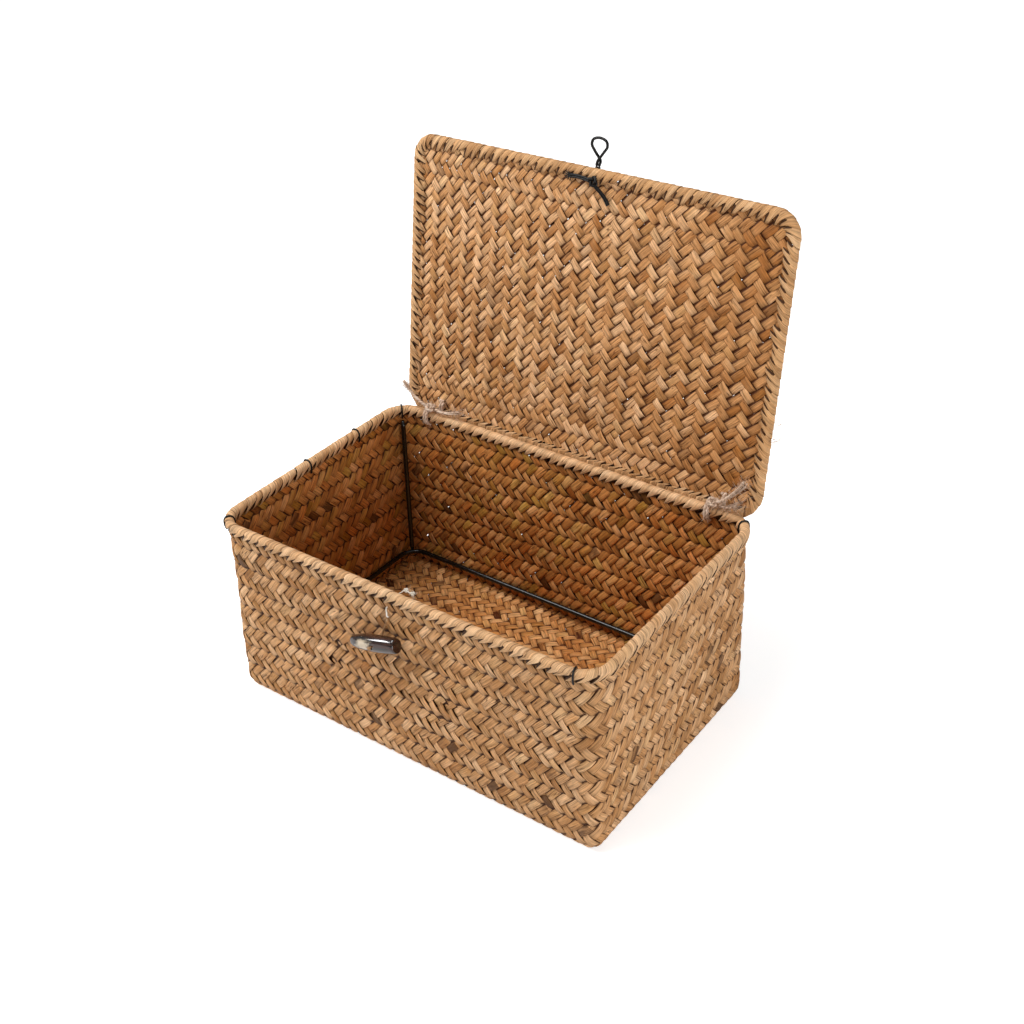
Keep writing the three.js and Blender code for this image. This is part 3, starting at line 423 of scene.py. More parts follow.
LEFT_END = [[0.6, -4.1, -4.8], [-1.6, -3.9, -4.6], [-6, -3.4, -4.1], [-11, -3.2, -4.0], [-16.5, -3.6, -4.0]]
RIGHT_END = [[3.4, -5.9, -4.8], [5.0, -7.6, -4.6], [8, -10.6, -3.4], [11, -14, -2.7], [14, -18.2, -2.6]]
FRAYED_TIPS = np.array([[-2.6, 2.6], [-3.6, 1.0], [-3.9, -0.7], [-3.0, -2.6], [-1.0, -3.0], [-0.6, 3.0]])
frayed_plies = [
    [[-15.4, -3.4, -4.0], [-16.4 + reach * 0.4, -3.5 + rise * 0.5, -4.3], [-16.6 + reach, -3.6 + rise, -4.0]]
    for reach, rise in FRAYED_TIPS]
left_strands = [closure_strand(np.array(LEFT_END) + (0, shift, 0), 32, LID_OUT) for shift in (-0.72, 0.72)]
left_strands += [cord_skin(smooth_line(lid_front(ply), 8), CORD * 0.5, LID_OUT, sides=8, plies=2)
                 for ply in frayed_plies]
left_tuft = loose_fibres(smooth_line(lid_front(LEFT_END), 40), 46, 3.4 * MM, 0.8, 3, 0.7)
left_strands.append(fibre_skin(left_tuft, 0.14 * MM))
right_strands = [closure_strand(np.array(RIGHT_END) + (shift, shift * 0.7, 0), 34, LID_OUT)
                 for shift in (-0.55, 0.55)]
for side_name, strands in (("left", left_strands), ("right", right_strands)):
    new_piece(f"closure_cord_{side_name}_end", joined(strands), "lid", waxed_cord,
              [f"closure_{side_name}_end"])

# Box walls: seagrass strips of 5.5 mm, one continuous twill that runs up the four walls and turns in
# under the floor. Each strip goes over two and under two, so that rows of floats of the one slant and
# of the other lie above each other by turns.
RIM_HALF = np.array((150, 96)) * MM
RIM_HEIGHT = 141 * MM
RIM_CORNER = 18 * MM
BASE_HALF = np.array((149.2, 93.7)) * MM
BASE_CORNER = 6.5 * MM
COLLAR = 129 * MM
FOOT_TURN = 6.5 * MM
FLOOR_MIDDLE = 1.7 * MM
WALL_STRIP_END = 138.8 * MM
WALL_COLUMNS = 124
WALL_ROW = 8.787 * MM
ROWS_START = 0.62 * MM
STRIP_THICKNESS = 1.0 * MM
STRIP_SWING = 0.6 * MM
STRIP_BOW = 0.2 * MM
STRIP_LEAN = 0.42 * MM
STRIP_FILL = 1.09
# Strength of the painted shadow in the slit along each family's lapped edge.
STRIP_SLITS = {1: 1.0, -1: 0.94}
WIDTH_SPREAD = 0.14
WIDTH_WAVE = 0.06
LINE_DRIFT = 0.065
# How strongly painted light and painted shade run along a float.
END_SHADE = 0.9
STRAW_RELIEF = 0.42 * MM
PATTERN_STEP = 0.37
SHADE_UNDER_RIM = 4.6 * MM
STEPS_PER_CROSSING = 4


def rounded_outline(share, half_x, half_y, radius):
    """A rounded rectangle, by share of its length counterclockwise from the middle of its front side.
    The heading is the sum of the quarter turns passed. The place is the sum of the straight runs and of
    the arcs' chords. The outward normal points to the right of the heading."""
    runs = (half_x - radius, 2 * (half_y - radius), 2 * (half_x - radius), 2 * (half_y - radius),
            half_x - radius)
    arc = radius * np.pi / 2
    d = np.mod(share, 1) * (sum(runs) + 4 * arc)
    x, y = np.zeros_like(d), np.zeros_like(d) - half_y
    heading = np.zeros_like(d)
    start = 0
    for number, run in enumerate(runs):
        facing = number * np.pi / 2
        way = np.clip(d - start, 0, run)
        x, y = x + way * np.cos(facing), y + way * np.sin(facing)
        start = start + run
        if number < 4:
            turned = np.clip((d - start) / arc, 0, 1) * np.pi / 2
            x = x + radius * (np.sin(facing + turned) - np.sin(facing))
            y = y + radius * (np.cos(facing) - np.cos(facing + turned))
            heading = heading + turned
            start = start + arc
    return x, y, np.sin(heading), -np.cos(heading)


def outline_length(half, radius):
    """The way round a rounded rectangle: four straight sides and the four quarter arcs."""
    return 4 * (half[0] + half[1] - 2 * radius) + 2 * np.pi * radius


RIM_LOOP = outline_length(RIM_HALF, RIM_CORNER)


def wall_surface(s, q):
    """The walls' middle surface from the length s round the rim and the length q up the wall. Below
    zero q runs in along the floor, then round the foot, then straight up. The outline grows from the
    base to the rim, and slow waves make the wall a little uneven."""
    q = q + ROWS_START
    turn = np.clip(q / FOOT_TURN, 0, np.pi / 2)
    z = FLOOR_MIDDLE + FOOT_TURN * (1 - np.cos(turn)) + np.maximum(q - FOOT_TURN * np.pi / 2, 0)
    inset = FOOT_TURN * (1 - np.sin(turn)) - np.minimum(q, 0)
    grown = np.clip(z / COLLAR, 0, 1)
    half_x = BASE_HALF[0] + (RIM_HALF[0] - BASE_HALF[0]) * grown
    half_y = BASE_HALF[1] + (RIM_HALF[1] - BASE_HALF[1]) * grown
    radius = BASE_CORNER + (RIM_CORNER - BASE_CORNER) * grown
    x, y, out_x, out_y = rounded_outline(s / RIM_LOOP, half_x, half_y, radius)
    calm = np.clip(1 - np.abs(z / RIM_HEIGHT - 0.5) * 2, 0, 1)
    wave = 0.5 * MM * calm * (np.sin(s * 41 + z * 23) + np.sin(s * 97 - z * 61 + 1.3))
    x, y = x * (1 - inset / half_x) + wave * out_x, y * (1 - inset / half_y) + wave * out_y
    normal = np.stack((out_x * np.sin(turn), out_y * np.sin(turn), -np.cos(turn)), -1)
    return np.stack((x, y, z), -1), normal


def dive(along, number, family, over, reach, spread=1.24):
    """How far a strip lies to the outer face, from -1 to 1, and how steeply it rises to it. The rule
    gives 1 or -1 at each crossing. Each change is an S curve, wider than one crossing, so that a float
    is rounded at both ends, and it comes later on leaving the outer face, by the reach."""
    k = np.floor(along)
    place = over(k - 1, number, family)
    slope = 0 * place
    for step in (-1, 0, 1):
        change = over(k + step + 1, number, family) - over(k + step, number, family)
        t = np.clip((along - k - step - 0.5 + 0.5 * reach * change) / spread + 0.5, 0, 1)
        place = place + change * t * t * (3 - 2 * t)
        slope = slope + change * 2 * t * (1 - t)
    return place, slope


STRIP_SECTION = np.array([
    [-1.0, 0, 0], [-0.88, 0.42, 1], [-0.4, 0.5, 1], [0.42, 0.5, 1], [0.9, 0.42, 1],
    [1.0, 0, 0], [0.88, -0.42, -1], [0.4, -0.5, -1], [-0.42, -0.5, -1], [-0.9, -0.42, -1],
])
SECTION_POINTS = len(STRIP_SECTION)


def woven_strips(surface, cell, family, numbers, limits, over, reach=0.0, lean=STRIP_LEAN,
                 swing=STRIP_SWING, seed=1, shade_above=None, slits=STRIP_SLITS):
    """All strips of one family. The line of strip b is b steps along one slant of the cell, and it runs
    along the other slant. The section is set across the line on the surface, at the dive times the
    swing from it. It leans, so that one edge laps over the next strip, and bows out in the middle.
    Rings past the limits fall together and are left out, and the ends are capped. Painted light makes a
    float brightest at the end where it comes up, and painted shade makes it darkest where it goes under.
    Above a given length the strips darken over 3 mm, a painted shadow where a binding keeps the light
    off them. A painted shadow marks the slit along the lowered edge of each strip."""
    noise = np.random.default_rng(seed)
    b = np.asarray(numbers, float)
    first, last = limits(b)
    steps = int(np.ceil(np.max(last - first) * STEPS_PER_CROSSING)) + 1
    a = np.minimum(first[:, None] + np.arange(steps) / STEPS_PER_CROSSING, last[:, None])
    width, height = cell
    pitch = width * height / np.hypot(width, height)
    phase = noise.random((4, len(b), 1)) * 2 * np.pi
    half_width = pitch / 2 * STRIP_FILL * (1 + WIDTH_SPREAD * (noise.random((len(b), 1)) - 0.5))
    half_width = half_width * (1 + WIDTH_WAVE * np.sin(a * 0.9 + phase[0]))
    drift = LINE_DRIFT * (np.sin(a * 0.37 + phase[1]) + 0.6 * np.sin(a * 1.1 + phase[2]))
    depth, slope = dive(a, b[:, None], family, over, reach * family)
    turned = np.abs(np.diff(np.sign(depth + 1e-9), axis=1)) > 0
    floats = np.concatenate((np.zeros((len(b), 1), int), np.cumsum(turned, axis=1)), axis=1)
    by_float = [np.take_along_axis(noise.random((len(b), floats.max() + 1)), floats, 1) for _ in range(3)]
    tone = 0.45 * by_float[0] + 0.55 * noise.random((len(b), 1))
    hue = 0.5 * by_float[1] + 0.5 * noise.random((len(b), 1))
    stain = by_float[2]
    tilt = lean * (1 + 0.7 * (by_float[1] - 0.5)) + 0.12 * STRIP_THICKNESS * (by_float[2] - 0.5)
    u, n, side = STRIP_SECTION.T
    across = u * half_width[..., None] / pitch
    number = b[:, None, None] + drift[..., None] + across
    slant = a[..., None] - across * (width ** 2 - height ** 2) / (width ** 2 + height ** 2)
    s = (slant + number) * width / 2
    t = (slant - number) * height / 2 * family
    place, normal = surface(s, t)
    lift = (depth[..., None] * (swing + STRIP_BOW * (1 - u * u)) + tilt[..., None] * u
            + n * STRIP_THICKNESS)
    points = place + normal * lift[..., None]
    # Painted light and shade along each float: light where it comes up, shade where it goes under.
    outer = depth + END_SHADE * np.clip(-slope * 2 * family, -0.4, 1)
    inner = -depth + END_SHADE * np.clip(slope * 2 * family, -0.4, 1)
    painted_light = np.where(side > 0, outer[..., None], np.where(
        side < 0, inner[..., None], np.maximum(outer, inner)[..., None]))
    # Painted shadow under the binding, over the last 3 mm of the wall strips.
    if shade_above is not None:
        painted_light = painted_light - 1.6 * np.clip((t - shade_above) / (3 * MM), 0, 1)
    look = stacked(painted_light, tone[..., None], side)
    length = a[..., None] * np.hypot(width, height) / 2
    strip = stacked(length, u * half_width[..., None], b[:, None, None] * PATTERN_STEP + seed)
    # The first value masks the painted shadow in the slit along the lowered edge.
    lap = stacked(-u * np.sign(lean) * slits[family], hue[..., None], stain[..., None])
    size = SECTION_POINTS
    rings = np.arange(len(b) * steps).reshape(len(b), steps)
    live = (a[:, 1:] - a[:, :-1]) > 1e-6
    start = rings[:, :-1][live] * size
    k = np.arange(size)
    quads = np.stack((start[:, None] + k, start[:, None] + (k + 1) % size,
                      start[:, None] + size + (k + 1) % size, start[:, None] + size + k), -1).reshape(-1, 4)
    ends = rings[np.arange(len(b)), live.sum(1)]
    kept = live.any(1)
    caps = np.vstack((rings[kept, 0][:, None] * size + k[::-1], ends[kept][:, None] * size + k))
    used, renumbered = np.unique(np.concatenate((quads.ravel(), caps.ravel())), return_inverse=True)
    quads, caps = renumbered[:quads.size].reshape(-1, 4), renumbered[quads.size:].reshape(-1, size)
    values = {"look": look.reshape(-1, 3)[used], "strip": strip.reshape(-1, 3)[used],
              "lap": lap.reshape(-1, 3)[used]}
    return points.reshape(-1, 3)[used], [quads, caps], values


def rows_over(along, number, family):
    """Rows: a strip lies on the outer face where its place up the weave, counted in crossings, leaves
    0 or 1 when divided by 4. The other family lies there where that leaves 2 or 3."""
    up = (along - number) * family
    return np.where(np.mod(up, 4) < 2, 1.0, -1.0) * family


def build_straw_look():
    """Node group for flat seagrass strips. The tone and hue of a float come from its own numbers and
    change slowly along it. Fibres run lengthwise, with a dark crease here and there. Painted shade runs
    along each float, and a painted shadow darkens the edge that the next strip laps over, and where it
    comes out from under its neighbours. The inner face may have its own tint of painted shade and warm
    bounced light, which yellows on the palest floats as a painted sheen, and its own strength of hue,
    from olive to orange. Stains take the same dark colour as the painted shadow."""
    tree = bpy.data.node_groups.new("straw strip", "ShaderNodeTree")
    for label in ("Pale", "Middle", "Deep", "Slit Shade And Stain", "Inner Shade Tint"):
        tree.interface.new_socket(label, in_out="INPUT", socket_type="NodeSocketColor")
    for label in ("Inner Hue", "Stains"):
        tree.interface.new_socket(label, in_out="INPUT", socket_type="NodeSocketFloat")
    for label, kind in (("Colour", "NodeSocketColor"), ("Roughness", "NodeSocketFloat"),
                        ("Height", "NodeSocketFloat")):
        tree.interface.new_socket(label, in_out="OUTPUT", socket_type=kind)
    given = tree.nodes.new("NodeGroupInput").outputs
    look = node(tree, "ShaderNodeSeparateXYZ", {
        0: node(tree, "ShaderNodeAttribute", attribute_name="look").outputs["Vector"]}).outputs
    lap = node(tree, "ShaderNodeSeparateXYZ", {
        0: node(tree, "ShaderNodeAttribute", attribute_name="lap").outputs["Vector"]}).outputs
    strip = node(tree, "ShaderNodeAttribute", attribute_name="strip").outputs["Vector"]
    slow = noise_of(tree, stretched(tree, strip, (38, 90, 9.1)), 1.0, 2.0)
    fibres = noise_of(tree, stretched(tree, strip, (95, 2600, 31)), 1.0, 4.0, 0.62)
    coarse = noise_of(tree, stretched(tree, strip, (55, 1050, 17)), 1.0, 2.0)
    tone = math_node(tree, "ADD", math_node(tree, "MULTIPLY", slow, 0.72),
                     math_node(tree, "MULTIPLY_ADD", look[1], 0.46, -0.05))
    low = blend_colours(tree, spread_out(tree, tone, 0.2, 0.5), given["Deep"], given["Middle"])
    base = blend_colours(tree, spread_out(tree, tone, 0.5, 0.82), low, given["Pale"])
    hue = node(tree, "ShaderNodeValToRGB", {0: lap[1]})
    olive, plain, orange = (0.86, 1.0, 0.66, 1), (1, 1, 1, 1), (1.0, 0.8, 0.6, 1)
    stops = ((0.1, olive), (0.38, plain), (0.62, plain), (0.9, orange))
    while len(hue.color_ramp.elements) < len(stops):
        hue.color_ramp.elements.new(0.5)
    for element, (place, colour) in zip(hue.color_ramp.elements, stops):
        element.position = place
        element.color = colour
    inner = spread_out(tree, look[2], 0.2, -0.6)
    hue_share = spread_out(tree, inner, 0, 1, 0.14, given["Inner Hue"])
    hued = blend_colours(tree, hue_share, base, hue.outputs["Color"], "MULTIPLY")
    streak = spread_out(tree, fibres, 0.3, 0.7, 0.7, 1.2)
    band = spread_out(tree, coarse, 0.3, 0.7, 0.68, 1.24)
    # Painted shade along each float, read from the painted light value.
    rounded = spread_out(tree, look[0], -0.3, 1.1, 0.6, 1.1)
    grain = math_node(tree, "MULTIPLY", streak, band)
    streaked = scaled(tree, hued, math_node(tree, "MULTIPLY", rounded, grain))
    patch = noise_of(tree, stretched(tree, strip, (70, 300, 23)), 1.0, 3.0)
    creases = noise_of(tree, stretched(tree, strip, (26, 520, 47)), 1.0, 1.0)
    off_crease = math_node(tree, "ABSOLUTE", math_node(tree, "SUBTRACT", creases, 0.59))
    crease = spread_out(tree, off_crease, 0.022, 0.008)
    chance = math_node(tree, "ADD", lap[2], math_node(tree, "MULTIPLY", patch, 0.06))
    stain = math_node(tree, "MULTIPLY", spread_out(tree, chance, 0.995, 1.02), given["Stains"])
    stained = blend_colours(tree, stain, streaked, given["Slit Shade And Stain"])
    # Painted shade and warm bounced light tint the inner face, less on the palest floats as a painted sheen.
    tint = blend_colours(tree, spread_out(tree, tone, 0.62, 0.95), given["Inner Shade Tint"], (1, 0.86, 0.72, 1))
    tinted = blend_colours(tree, inner, stained, blend_colours(tree, 1.0, stained, tint, "MULTIPLY"))
    # Painted shade where the strip lies under its neighbours, and a painted shadow in the slit along its
    # lapped edge; both blend to the dark slit colour below.
    hidden = spread_out(tree, look[0], 0.2, -0.3, interpolation_type="SMOOTHSTEP")
    lowered = math_node(tree, "MULTIPLY", lap[0], math_node(tree, "SIGN", look[2]))
    ragged = math_node(tree, "ADD", lowered, math_node(tree, "MULTIPLY_ADD", patch, 0.5, -0.25))
    slit = spread_out(tree, ragged, 0.6, 0.84, interpolation_type="SMOOTHSTEP")
    gaps = math_node(tree, "MAXIMUM", hidden, slit)
    edges = math_node(tree, "MAXIMUM", gaps, math_node(tree, "MULTIPLY", crease, 0.7))
    dark = math_node(tree, "MULTIPLY", edges, 0.95)
    colour = blend_colours(tree, dark, tinted, given["Slit Shade And Stain"])
    rough = spread_out(tree, fibres, 0.25, 0.75, 0.66, 0.46)
    height = math_node(tree, "MULTIPLY", math_node(tree, "ADD", fibres, coarse), 0.5)
    out = tree.nodes.new("NodeGroupOutput")
    for label, value in (("Colour", colour), ("Roughness", rough), ("Height", height)):
        tree.links.new(value, out.inputs[label])
    return tree


straw_look = build_straw_look()


def straw_finish(name, pale, middle, deep, slit, inner_shade_tint, inner_hue, stains):
    """Dry seagrass: the strip group's colour, roughness and fibre height on a matt, slightly waxy
    surface."""
    material, tree, links, shader = material_with(name)
    group = node(tree, "ShaderNodeGroup", node_tree=straw_look)
    for label, value in (("Pale", pale), ("Middle", middle), ("Deep", deep), ("Slit Shade And Stain", slit),
                         ("Inner Shade Tint", inner_shade_tint), ("Inner Hue", inner_hue), ("Stains", stains)):
        group.inputs[label].default_value = value
    links.new(group.outputs["Colour"], shader.inputs["Base Color"])
    links.new(group.outputs["Roughness"], shader.inputs["Roughness"])
    bump = node(tree, "ShaderNodeBump", {
        "Height": group.outputs["Height"], "Strength": 0.8, "Distance": STRAW_RELIEF})
    links.new(bump.outputs[0], shader.inputs["Normal"])
    shader.inputs["Specular IOR Level"].default_value = 0.14
    return material


# Colours: pale, middle and deep straw, the painted slit shade that the stains share, and the inner face's
# painted shade tint.
wall_straw = straw_finish("wall seagrass", srgb(226, 182, 138), srgb(194, 143, 94), srgb(146, 94, 46),
                          srgb(52, 22, 5), srgb(246, 222, 182), 1.0, 0.8)
wall_cell = (RIM_LOOP / WALL_COLUMNS, WALL_ROW)
wall_bottom = -0.5 * MM
wall_top = WALL_STRIP_END - FLOOR_MIDDLE - FOOT_TURN + FOOT_TURN * np.pi / 2 - ROWS_START
for family, slant in ((1, "rising"), (-1, "falling")):

    def wall_limits(b, family=family):
        """A strip climbs half a row for each crossing past its own number."""
        ends = np.array((wall_bottom, wall_top)) * 2 / WALL_ROW * family
        return b + min(ends), b + max(ends)

    for part in range(2):
        numbers = np.arange(WALL_COLUMNS // 2) + part * WALL_COLUMNS // 2
        skin = woven_strips(wall_surface, wall_cell, family, numbers, wall_limits, rows_over,
                            reach=0.08, seed=11 + part + 2 * (family > 0),
                            shade_above=wall_top - SHADE_UNDER_RIM)
        new_piece(f"wall_strips_{slant}_{part + 1}", skin, "box", wall_straw, ["basket_shell"])

# Floor: the same strips a little finer, woven flat, and their ends lie among the walls' turned-in ends.
FLOOR_HALF = np.array((146.2, 90.7)) * MM
FLOOR_CORNER = 5 * MM
FLOOR_TURN_UP = 2.6 * MM
FLOOR_TURN_WIDTH = 7 * MM
FLOOR_CELL = (7.3 * MM, 6.7 * MM)


def flat_limits(half, corner, cell, family, middle=(0.0, 0.0)):
    """Where a strip's line enters and leaves a rounded rectangle, found on fine even samples. A point is
    inside where its distance from the inner rectangle is under the corner radius."""
    def limits(b):
        reach = np.sum(half) * 2 / min(cell)
        a = np.linspace(-2.2 * reach, 2.2 * reach, 12001)[None] + 0 * b[:, None]
        x = np.abs((a + b[:, None]) * cell[0] / 2 - middle[0]) - half[0] + corner
        y = np.abs((a - b[:, None]) * cell[1] / 2 * family - middle[1]) - half[1] + corner
        inside = np.hypot(np.maximum(x, 0), np.maximum(y, 0)) + np.minimum(np.maximum(x, y), 0) < corner
        first = np.take_along_axis(a, inside.argmax(1)[:, None], 1)[:, 0]
        last = np.take_along_axis(a, a.shape[1] - 1 - inside[:, ::-1].argmax(1)[:, None], 1)[:, 0]
        missing = ~inside.any(1)
        return np.where(missing, 0.0, first), np.where(missing, 0.0, last)
    return limits


def strips_across(half, cell, family, middle=(0.0, 0.0)):
    """The numbers of the strips that meet a rectangle."""
    reach = half[0] / cell[0] + half[1] / cell[1]
    centre = middle[0] / cell[0] - family * middle[1] / cell[1]
    return np.arange(math.ceil(centre - reach), math.floor(centre + reach) + 1)


def floor_surface(s, t):
    """A level plane, with slow waves of a few tenths of a millimetre. Near its edges it turns up inside
    the foot of the walls, by the square of how far it is into its last millimetres."""
    wave = 0.16 * MM * (np.sin(s * 67 + t * 31) + np.sin(t * 83 - s * 29))
    edge = np.maximum(np.abs(s) - FLOOR_HALF[0], np.abs(t) - FLOOR_HALF[1])
    wave = wave + FLOOR_TURN_UP * np.clip(1 + edge / FLOOR_TURN_WIDTH, 0, 1) ** 2
    place = np.stack((s, t, FLOOR_MIDDLE + wave), -1)
    return place, np.broadcast_to(np.array((0.0, 0, -1.0)), place.shape)


# Floor colours, with its painted slit shade and its inner painted shade tint.
floor_straw = straw_finish("floor seagrass", srgb(244, 200, 150), srgb(206, 149, 94), srgb(158, 99, 48),
                           srgb(78, 36, 9), srgb(255, 240, 218), 0.3, 1.0)
for family, slant in ((1, "rising"), (-1, "falling")):
    skin = woven_strips(floor_surface, FLOOR_CELL, family, strips_across(FLOOR_HALF, FLOOR_CELL, family),
                        flat_limits(FLOOR_HALF, FLOOR_CORNER, FLOOR_CELL, family), rows_over,
                        lean=-0.26 * MM, swing=0.5 * MM, seed=31 + family)
    new_piece(f"floor_strips_{slant}", skin, "box", floor_straw, ["basket_shell"])

# Lid panel: the same weave inside the lid's wire, in columns of chevrons, with rows near the hinge and
# near the front edge, where the weaver turned the twill. Painted shade darkens its right end.
LID_WIRE_HALF = np.array((145.5, 99.4)) * MM
LID_WIRE_CORNER = 11 * MM
LID_CELL = (7.12 * MM, 8.05 * MM)
LID_ROWS_BELOW = 26 * MM
LID_ROWS_ABOVE = 172.8 * MM
LID_SPREAD = 0.5
# Strength of the painted slit shadow for each family on the lid.
LID_SLITS = {1: 1.08, -1: 0.84}
LID_SHADE_FROM = 40 * MM
LID_SHADE_OVER = 100 * MM
LID_SHADE_TONE = 0.42
lid_middle = (0.0, LID_WIRE_HALF[1])
lid_panel_half = LID_WIRE_HALF - 0.6 * MM


def lid_over(along, number, family):
    """Columns in the middle of the lid, by the place across it, and rows near its two long edges."""
    across = along + number
    up = (along - number) * family
    counted = np.where((up * LID_CELL[1] / 2 < LID_ROWS_BELOW) | (up * LID_CELL[1] / 2 > LID_ROWS_ABOVE),
                       up, across)
    return np.where(np.mod(counted, 4) < 2, 1.0, -1.0) * family


def lid_surface(s, t):
    """The lid's middle plane, with slow waves, a slight sag between its wires, and its normal. The strips
    spread out towards the right end: x is s less a share of how far its square is under the end's."""
    calm = np.clip(1 - (s / LID_WIRE_HALF[0]) ** 2, 0, 1) * np.clip(1 - (t / LID_WIRE_HALF[1] - 1) ** 2, 0, 1)
    wave = calm * (0.5 * MM * (np.sin(s * 53 + t * 37) + np.sin(t * 71 - s * 43)) + 0.8 * MM)
    x = s - LID_SPREAD * (LID_WIRE_HALF[0] ** 2 - s ** 2)
    place = on_lid(np.stack((x, t, wave), -1))
    return place, np.broadcast_to(LID_OUT, place.shape)


# Lid colours, with its painted slit shade and its inner painted shade tint.
lid_straw = straw_finish("lid seagrass", srgb(238, 202, 164), srgb(202, 154, 106), srgb(160, 106, 56),
                         srgb(64, 27, 5), srgb(252, 242, 230), 0.16, 0.35)
for family, slant in ((1, "rising"), (-1, "falling")):
    numbers = strips_across(lid_panel_half, LID_CELL, family, lid_middle)
    limits = flat_limits(lid_panel_half, LID_WIRE_CORNER, LID_CELL, family, lid_middle)
    skin = woven_strips(lid_surface, LID_CELL, family, numbers, limits, lid_over,
                        lean=-0.3 * MM, swing=0.62 * MM, seed=41 + family, slits=LID_SLITS)
    # Painted shade: the tone falls towards the lid's right end.
    lid_right_shade = np.clip((skin[0][:, 0] - LID_SHADE_FROM) / LID_SHADE_OVER, 0, 1)
    skin[2]["look"][:, 1] -= LID_SHADE_TONE * lid_right_shade
    new_piece(f"lid_strips_{slant}", skin, "lid", lid_straw, ["lid_panel"])

# Rim binding: broad folded strips wound slantwise over the rim wire and the top of the wall. Each laps
# over the next, and its narrowed ends are tucked into the weave inside and outside.
WRAP_PITCH = 6.8 * MM
WRAP_SLANT = 12 * MM
WRAP_THICKNESS = 0.62 * MM
WRAP_FILL = 1.2
WRAP_UNEVEN_LEAD = 0.16
WRAP_UNEVEN_RISE = 0.16 * MM


def wound_strips(loop_half, loop_corner, section, place, pitch, slant, seed, uneven=0.24, open_from=0.2,
                 skew=1.0, narrowing=0.9):
    """Strips wound round an edge. The section is a line of [out, up, lead, out normal, up normal, leg]
    from one tucked end to the other. A strip's own line follows it, led along the edge by the slant
    times the lead. The flat section is set across it, with one side raised to lap over the next strip.
    Along its legs, of uneven length, the strip narrows towards a point that the skew sets to one side,
    and painted shade darkens it towards the tucked ends. From a share of the lead a painted shadow
    darkens the slit between two strips."""
    noise = np.random.default_rng(seed)
    loop = outline_length(loop_half, loop_corner)
    count = round(loop / pitch)
    step = loop / count
    i = (np.arange(count) + 0.3 * (noise.random(count) - 0.5))[:, None, None]
    u, n, side = STRIP_SECTION.T
    out, up, lead, out_normal, up_normal, leg = np.moveaxis(section, -1, 0)[:, None, :, None]
    full = WRAP_FILL + 0.2 * (noise.random((count, 1, 1)) - 0.5)
    wide = full * (1 - narrowing * leg)
    lengths = 1 + uneven * (noise.random((2, count, 1, 1)) - 0.45)
    up = np.where(up < 0, up * np.where(lead < 0, lengths[0], lengths[1]), up)
    aside = skew * np.sign(lead) * (full - wide) / 2
    led = lead * slant * (1 + WRAP_UNEVEN_LEAD * (noise.random((count, 1, 1)) - 0.5))
    distance = (i + 0.5 + u * wide / 2 + aside) * step + led
    rise = (0.5 + n) * WRAP_THICKNESS + (0.5 + 0.5 * u) * WRAP_THICKNESS * 0.75 + 0 * distance
    rise = rise * (1 - 0.7 * leg ** 2) + WRAP_UNEVEN_RISE * (noise.random((count, 1, 1)) - 0.5) * (1 - leg)
    x, y, nx, ny = rounded_outline(distance / loop, loop_half[0], loop_half[1], loop_corner)
    points = place(x, y, nx, ny, out + rise * out_normal, up + rise * up_normal)
    tone = 0.3 + 0.4 * noise.random((count, 1, 1))
    hue = 0.24 + 0.52 * noise.random((count, 1, 1))
    # Painted shade along the legs towards the tucked ends.
    painted_light = 1 - 0.3 * leg - 0.5 * leg ** 4 + 0 * distance
    look = stacked(painted_light, tone, 0 * side + 1)
    run = np.concatenate(((0,), np.cumsum(np.hypot(np.diff(section[:, 0]), np.diff(section[:, 1])))))
    strip = stacked(run[None, :, None], u * wide * step / 2, i * PATTERN_STEP + seed)
    # Mask for the painted shadow in the slit between wraps, on the legs.
    legs = np.clip((np.abs(lead) * 2 - open_from) / 0.2, 0, 1)
    lap = stacked((-2.6 * u - 0.35) * legs + 0 * distance, hue, 0 * hue)
    values = {"look": look.reshape(-1, 3), "strip": strip.reshape(-1, 3), "lap": lap.reshape(-1, 3)}
    return points.reshape(-1, 3), tube_faces(count, len(section), SECTION_POINTS), values


def edge_section(half, rise, leg, tuck, steps):
    """Half the section of a bound edge, mirrored: a leg that leans in to its tucked end, and a rounded
    top. Lead grows evenly along it, and the normals are square to it."""
    turn = np.linspace(0, np.pi / 2, steps)
    top = np.stack((half * np.cos(turn) ** 0.8, rise * np.sin(turn) ** 0.85), -1)
    legs = np.array([[tuck, -leg - 1.3 * MM], [half * 0.8, -leg], [half * 0.97, -leg * 0.66],
                     [half, -leg * 0.33]])
    outer = np.vstack((legs, top))
    shares = np.concatenate(((1, 0.84, 0.56, 0.28), np.zeros(steps)))
    line = np.vstack((outer, outer[-2::-1] * (-1, 1)))
    run = np.concatenate(((0,), np.cumsum(np.linalg.norm(np.diff(line, axis=0), axis=1))))
    lead = run / run[-1] - 0.5
    way = np.gradient(line, axis=0)
    way /= np.linalg.norm(way, axis=1, keepdims=True)
    return np.column_stack((line, lead, way[:, 1], -way[:, 0], np.concatenate((shares, shares[-2::-1]))))


def on_rim(x, y, nx, ny, out, up):
    """Points at a reach out of the rim wire's outline and a height over it."""
    return np.stack((x + nx * out, y + ny * out, RIM_HEIGHT + up + 0 * x), -1)


# Binding colours; the fourth is its painted slit shade, and its inner tint is left white.
binding_straw = straw_finish("binding seagrass", srgb(232, 192, 150), srgb(212, 167, 122),
                             srgb(178, 130, 84), srgb(44, 20, 7), srgb(255, 255, 255), 0.0, 0.0)
rim_section = edge_section(2.3 * MM, 2.2 * MM, 5.0 * MM, 0.5 * MM, 6)
new_piece("rim_binding_strips",
          wound_strips(RIM_HALF, RIM_CORNER, rim_section, on_rim, WRAP_PITCH, WRAP_SLANT, 5),
          "box", binding_straw, ["rim_binding"])

